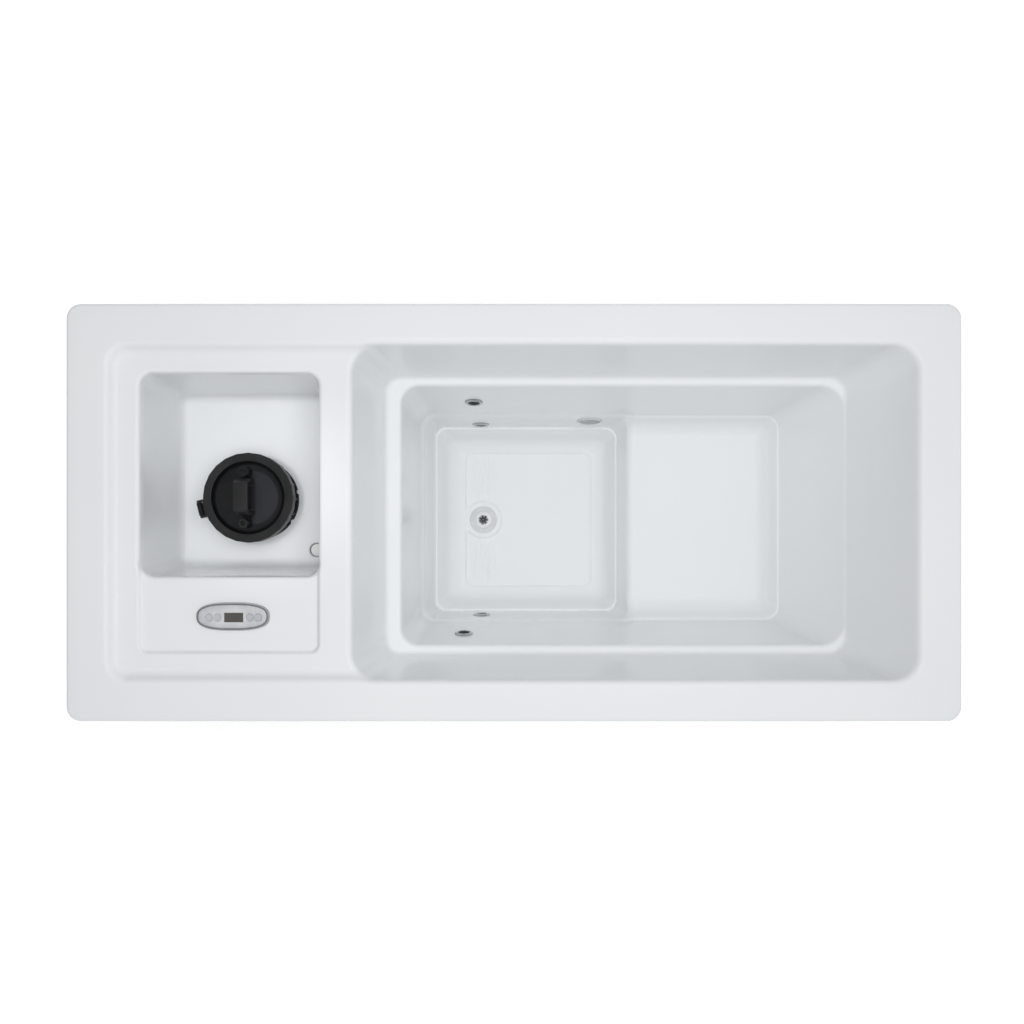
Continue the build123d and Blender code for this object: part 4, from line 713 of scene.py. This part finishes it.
SPOTS = {
    "jet_a": (*spot(-117.9, 394.0, 1, up, 334.6, 258.0), 18.0),
    "jet_b": (*spot(-142.9, 374.0, -1, up, 334.6, 258.0), 18.0),
    "return": (*spot(-112.1, 620.0, 1, lo_, 281.9, 501.0), 17.0),
    "suction": (*spot(-107.8, 592.0, -1, lo_, 281.9, 501.0), 17.0),
    "light": (*spot(195.0, 574.0, 1, lo_, 281.9, 501.0), 27.0),
}
me = shell_mesh()
shell = add_piece("tub_shell_skin", me, M["acrylic"], "tub", ("tub_shell",))
cutters = bmesh.new()
parts = [cylinder_cutter(o, a, r * MM, 0.04, 0.02) for o, a, r in SPOTS.values()]
parts.append(cylinder_cutter((-0.660, 0.041, 0.576), (0, 0, 1), 0.088, 0.03, 0.03, 96))
parts.append(cylinder_cutter((-0.515, -0.088, 0.576), (0, 0, 1), 0.020, 0.03, 0.03))
parts.append(cylinder_cutter((-0.1113, 0.0, 0.115), (0, 0, 1), 0.0245, 0.03, 0.03))
parts.append(slot_cutter(-0.664, -0.245, 0.140, 0.044, 0.81, 0.85))
for p in parts:
    tmp = bpy.data.meshes.new("tmp")
    p.to_mesh(tmp)
    p.free()
    cutters.from_mesh(tmp)
    bpy.data.meshes.remove(tmp)
cme = bpy.data.meshes.new("cutter")
cutters.to_mesh(cme)
cutters.free()
cobj = bpy.data.objects.new("cutter", cme)
scene.collection.objects.link(cobj)
mod = shell.modifiers.new("holes", "BOOLEAN")
mod.operation = "DIFFERENCE"
mod.solver = "MANIFOLD"
mod.object = cobj
bpy.context.view_layer.update()
dg = bpy.context.evaluated_depsgraph_get()
final = bpy.data.meshes.new_from_object(shell.evaluated_get(dg))
shell.modifiers.clear()
shell.data = final
bpy.data.objects.remove(cobj)
final.polygons.foreach_set("use_smooth", np.ones(len(final.polygons), bool))
final.set_sharp_from_angle(angle=math.radians(42))
print("shell", len(me.vertices), "->", len(final.vertices), "faces", len(final.polygons))

# ---------------------------------------------------------------------------
# moulded and machined pieces, with their edges broken
# ---------------------------------------------------------------------------
for node, w in (("filter_housing", 0.0008), ("lock_ring", 0.0010), ("lock_ring_latch", 0.0008),
                ("filter_lid", 0.0008), ("lid_handle", 0.0010), ("air_bleed_knob", 0.0006),
                ("lid_drain_plug", 0.0006), ("corner_trims", 0.0012), ("service_door", 0.0010),
                ("service_end_panel", 0.0010), ("front_panel", 0.0010), ("rear_panel", 0.0010),
                ("head_end_panel", 0.0010), ("vent_grilles", 0.0006), ("door_latch", 0.0008),
                ("door_hinges", 0.0005), ("door_leaves", 0.0005), ("panel_screws", 0.0005),
                ("control_bezel", 0.0010), ("control_face", 0.0008), ("pocket_plug", 0.0006),
                ("jet_ring_a", 0.0005), ("jet_ring_b", 0.0005), ("jet_nozzle_a", 0.0005),
                ("jet_nozzle_b", 0.0005), ("return_fitting", 0.0005), ("suction_fitting", 0.0005),
                ("drain_flange", 0.0005), ("drain_strainer", 0.0004), ("light_housing", 0.0005),
                ("drain_handle", 0.0006), ("base_pan", 0.0010)):
    refine(node, w)

# ---------------------------------------------------------------------------
# floor and light
# ---------------------------------------------------------------------------
fm, nt, b = new_mat("floor_pale")
v = coords(nt)
nt.links.new(ramp(nt, noise(nt, v, 1.2, 3.0), (0.88, 0.88, 0.88), (0.90, 0.90, 0.90)), b.inputs["Base Color"])
b.inputs["Roughness"].default_value = 0.8
b.inputs["Emission Color"].default_value = (1, 1, 1, 1)
b.inputs["Emission Strength"].default_value = 0.60
bm = bmesh.new()
bmesh.ops.create_grid(bm, x_segments=8, y_segments=8, size=40.0)
fme = bpy.data.meshes.new("floor")
bm.to_mesh(fme)
bm.free()
floor = bpy.data.objects.new("floor", fme)
floor.location = (0, 0, -0.0005)
scene.collection.objects.link(floor)
set_material(floor, fm)

world = bpy.data.worlds.new("studio")
scene.world = world
world.use_nodes = True
bg = world.node_tree.nodes["Background"]
wt = world.node_tree
w_tc = wt.nodes.new("ShaderNodeTexCoord")
w_dot = wt.nodes.new("ShaderNodeVectorMath")
w_dot.operation = "DOT_PRODUCT"
w_dot.inputs[1].default_value = (-0.86, 0.51, 0.0)
wt.links.new(w_tc.outputs["Generated"], w_dot.inputs[0])
w_ramp = wt.nodes.new("ShaderNodeValToRGB")
w_ramp.color_ramp.interpolation = "EASE"
w_ramp.color_ramp.elements[0].position = 0.42
w_ramp.color_ramp.elements[0].color = (0.975, 0.985, 1.0, 1)
w_ramp.color_ramp.elements[1].position = 0.86
w_ramp.color_ramp.elements[1].color = (0.05, 0.05, 0.053, 1)
wt.links.new(w_dot.outputs["Value"], w_ramp.inputs["Fac"])
wt.links.new(w_ramp.outputs["Color"], bg.inputs["Color"])
w_seen = wt.nodes.new("ShaderNodeBackground")
w_seen.inputs["Color"].default_value = (1, 1, 1, 1)
w_seen.inputs["Strength"].default_value = 1.0
w_path = wt.nodes.new("ShaderNodeLightPath")
w_mix = wt.nodes.new("ShaderNodeMixShader")
wt.links.new(w_path.outputs["Is Camera Ray"], w_mix.inputs["Fac"])
wt.links.new(bg.outputs["Background"], w_mix.inputs[1])
wt.links.new(w_seen.outputs["Background"], w_mix.inputs[2])
wt.links.new(w_mix.outputs["Shader"], wt.nodes["World Output"].inputs["Surface"])
bg.inputs["Strength"].default_value = 0.435

bank_data = bpy.data.lights.new("overhead", "AREA")
bank_data.shape = "RECTANGLE"
bank_data.size = 2.0
bank_data.size_y = 1.6
bank_data.energy = 60.0
bank = bpy.data.objects.new("overhead", bank_data)
bank.location = (0.17, 0.0, 4.0)
bank.visible_glossy = False
scene.collection.objects.link(bank)

snoot_data = bpy.data.lights.new("pocket_fill", "SPOT")
snoot_data.energy = 46.0
snoot_data.spot_size = math.radians(11.5)
snoot_data.spot_blend = 0.7
snoot_data.shadow_soft_size = 0.10
snoot = bpy.data.objects.new("pocket_fill", snoot_data)
snoot.location = (-0.600, 0.070, 3.3)
snoot.visible_glossy = False
scene.collection.objects.link(snoot)

scene.view_settings.view_transform = "Standard"
scene.view_settings.look = "None"
scene.view_settings.exposure = 0.0
scene.view_settings.gamma = 1.0
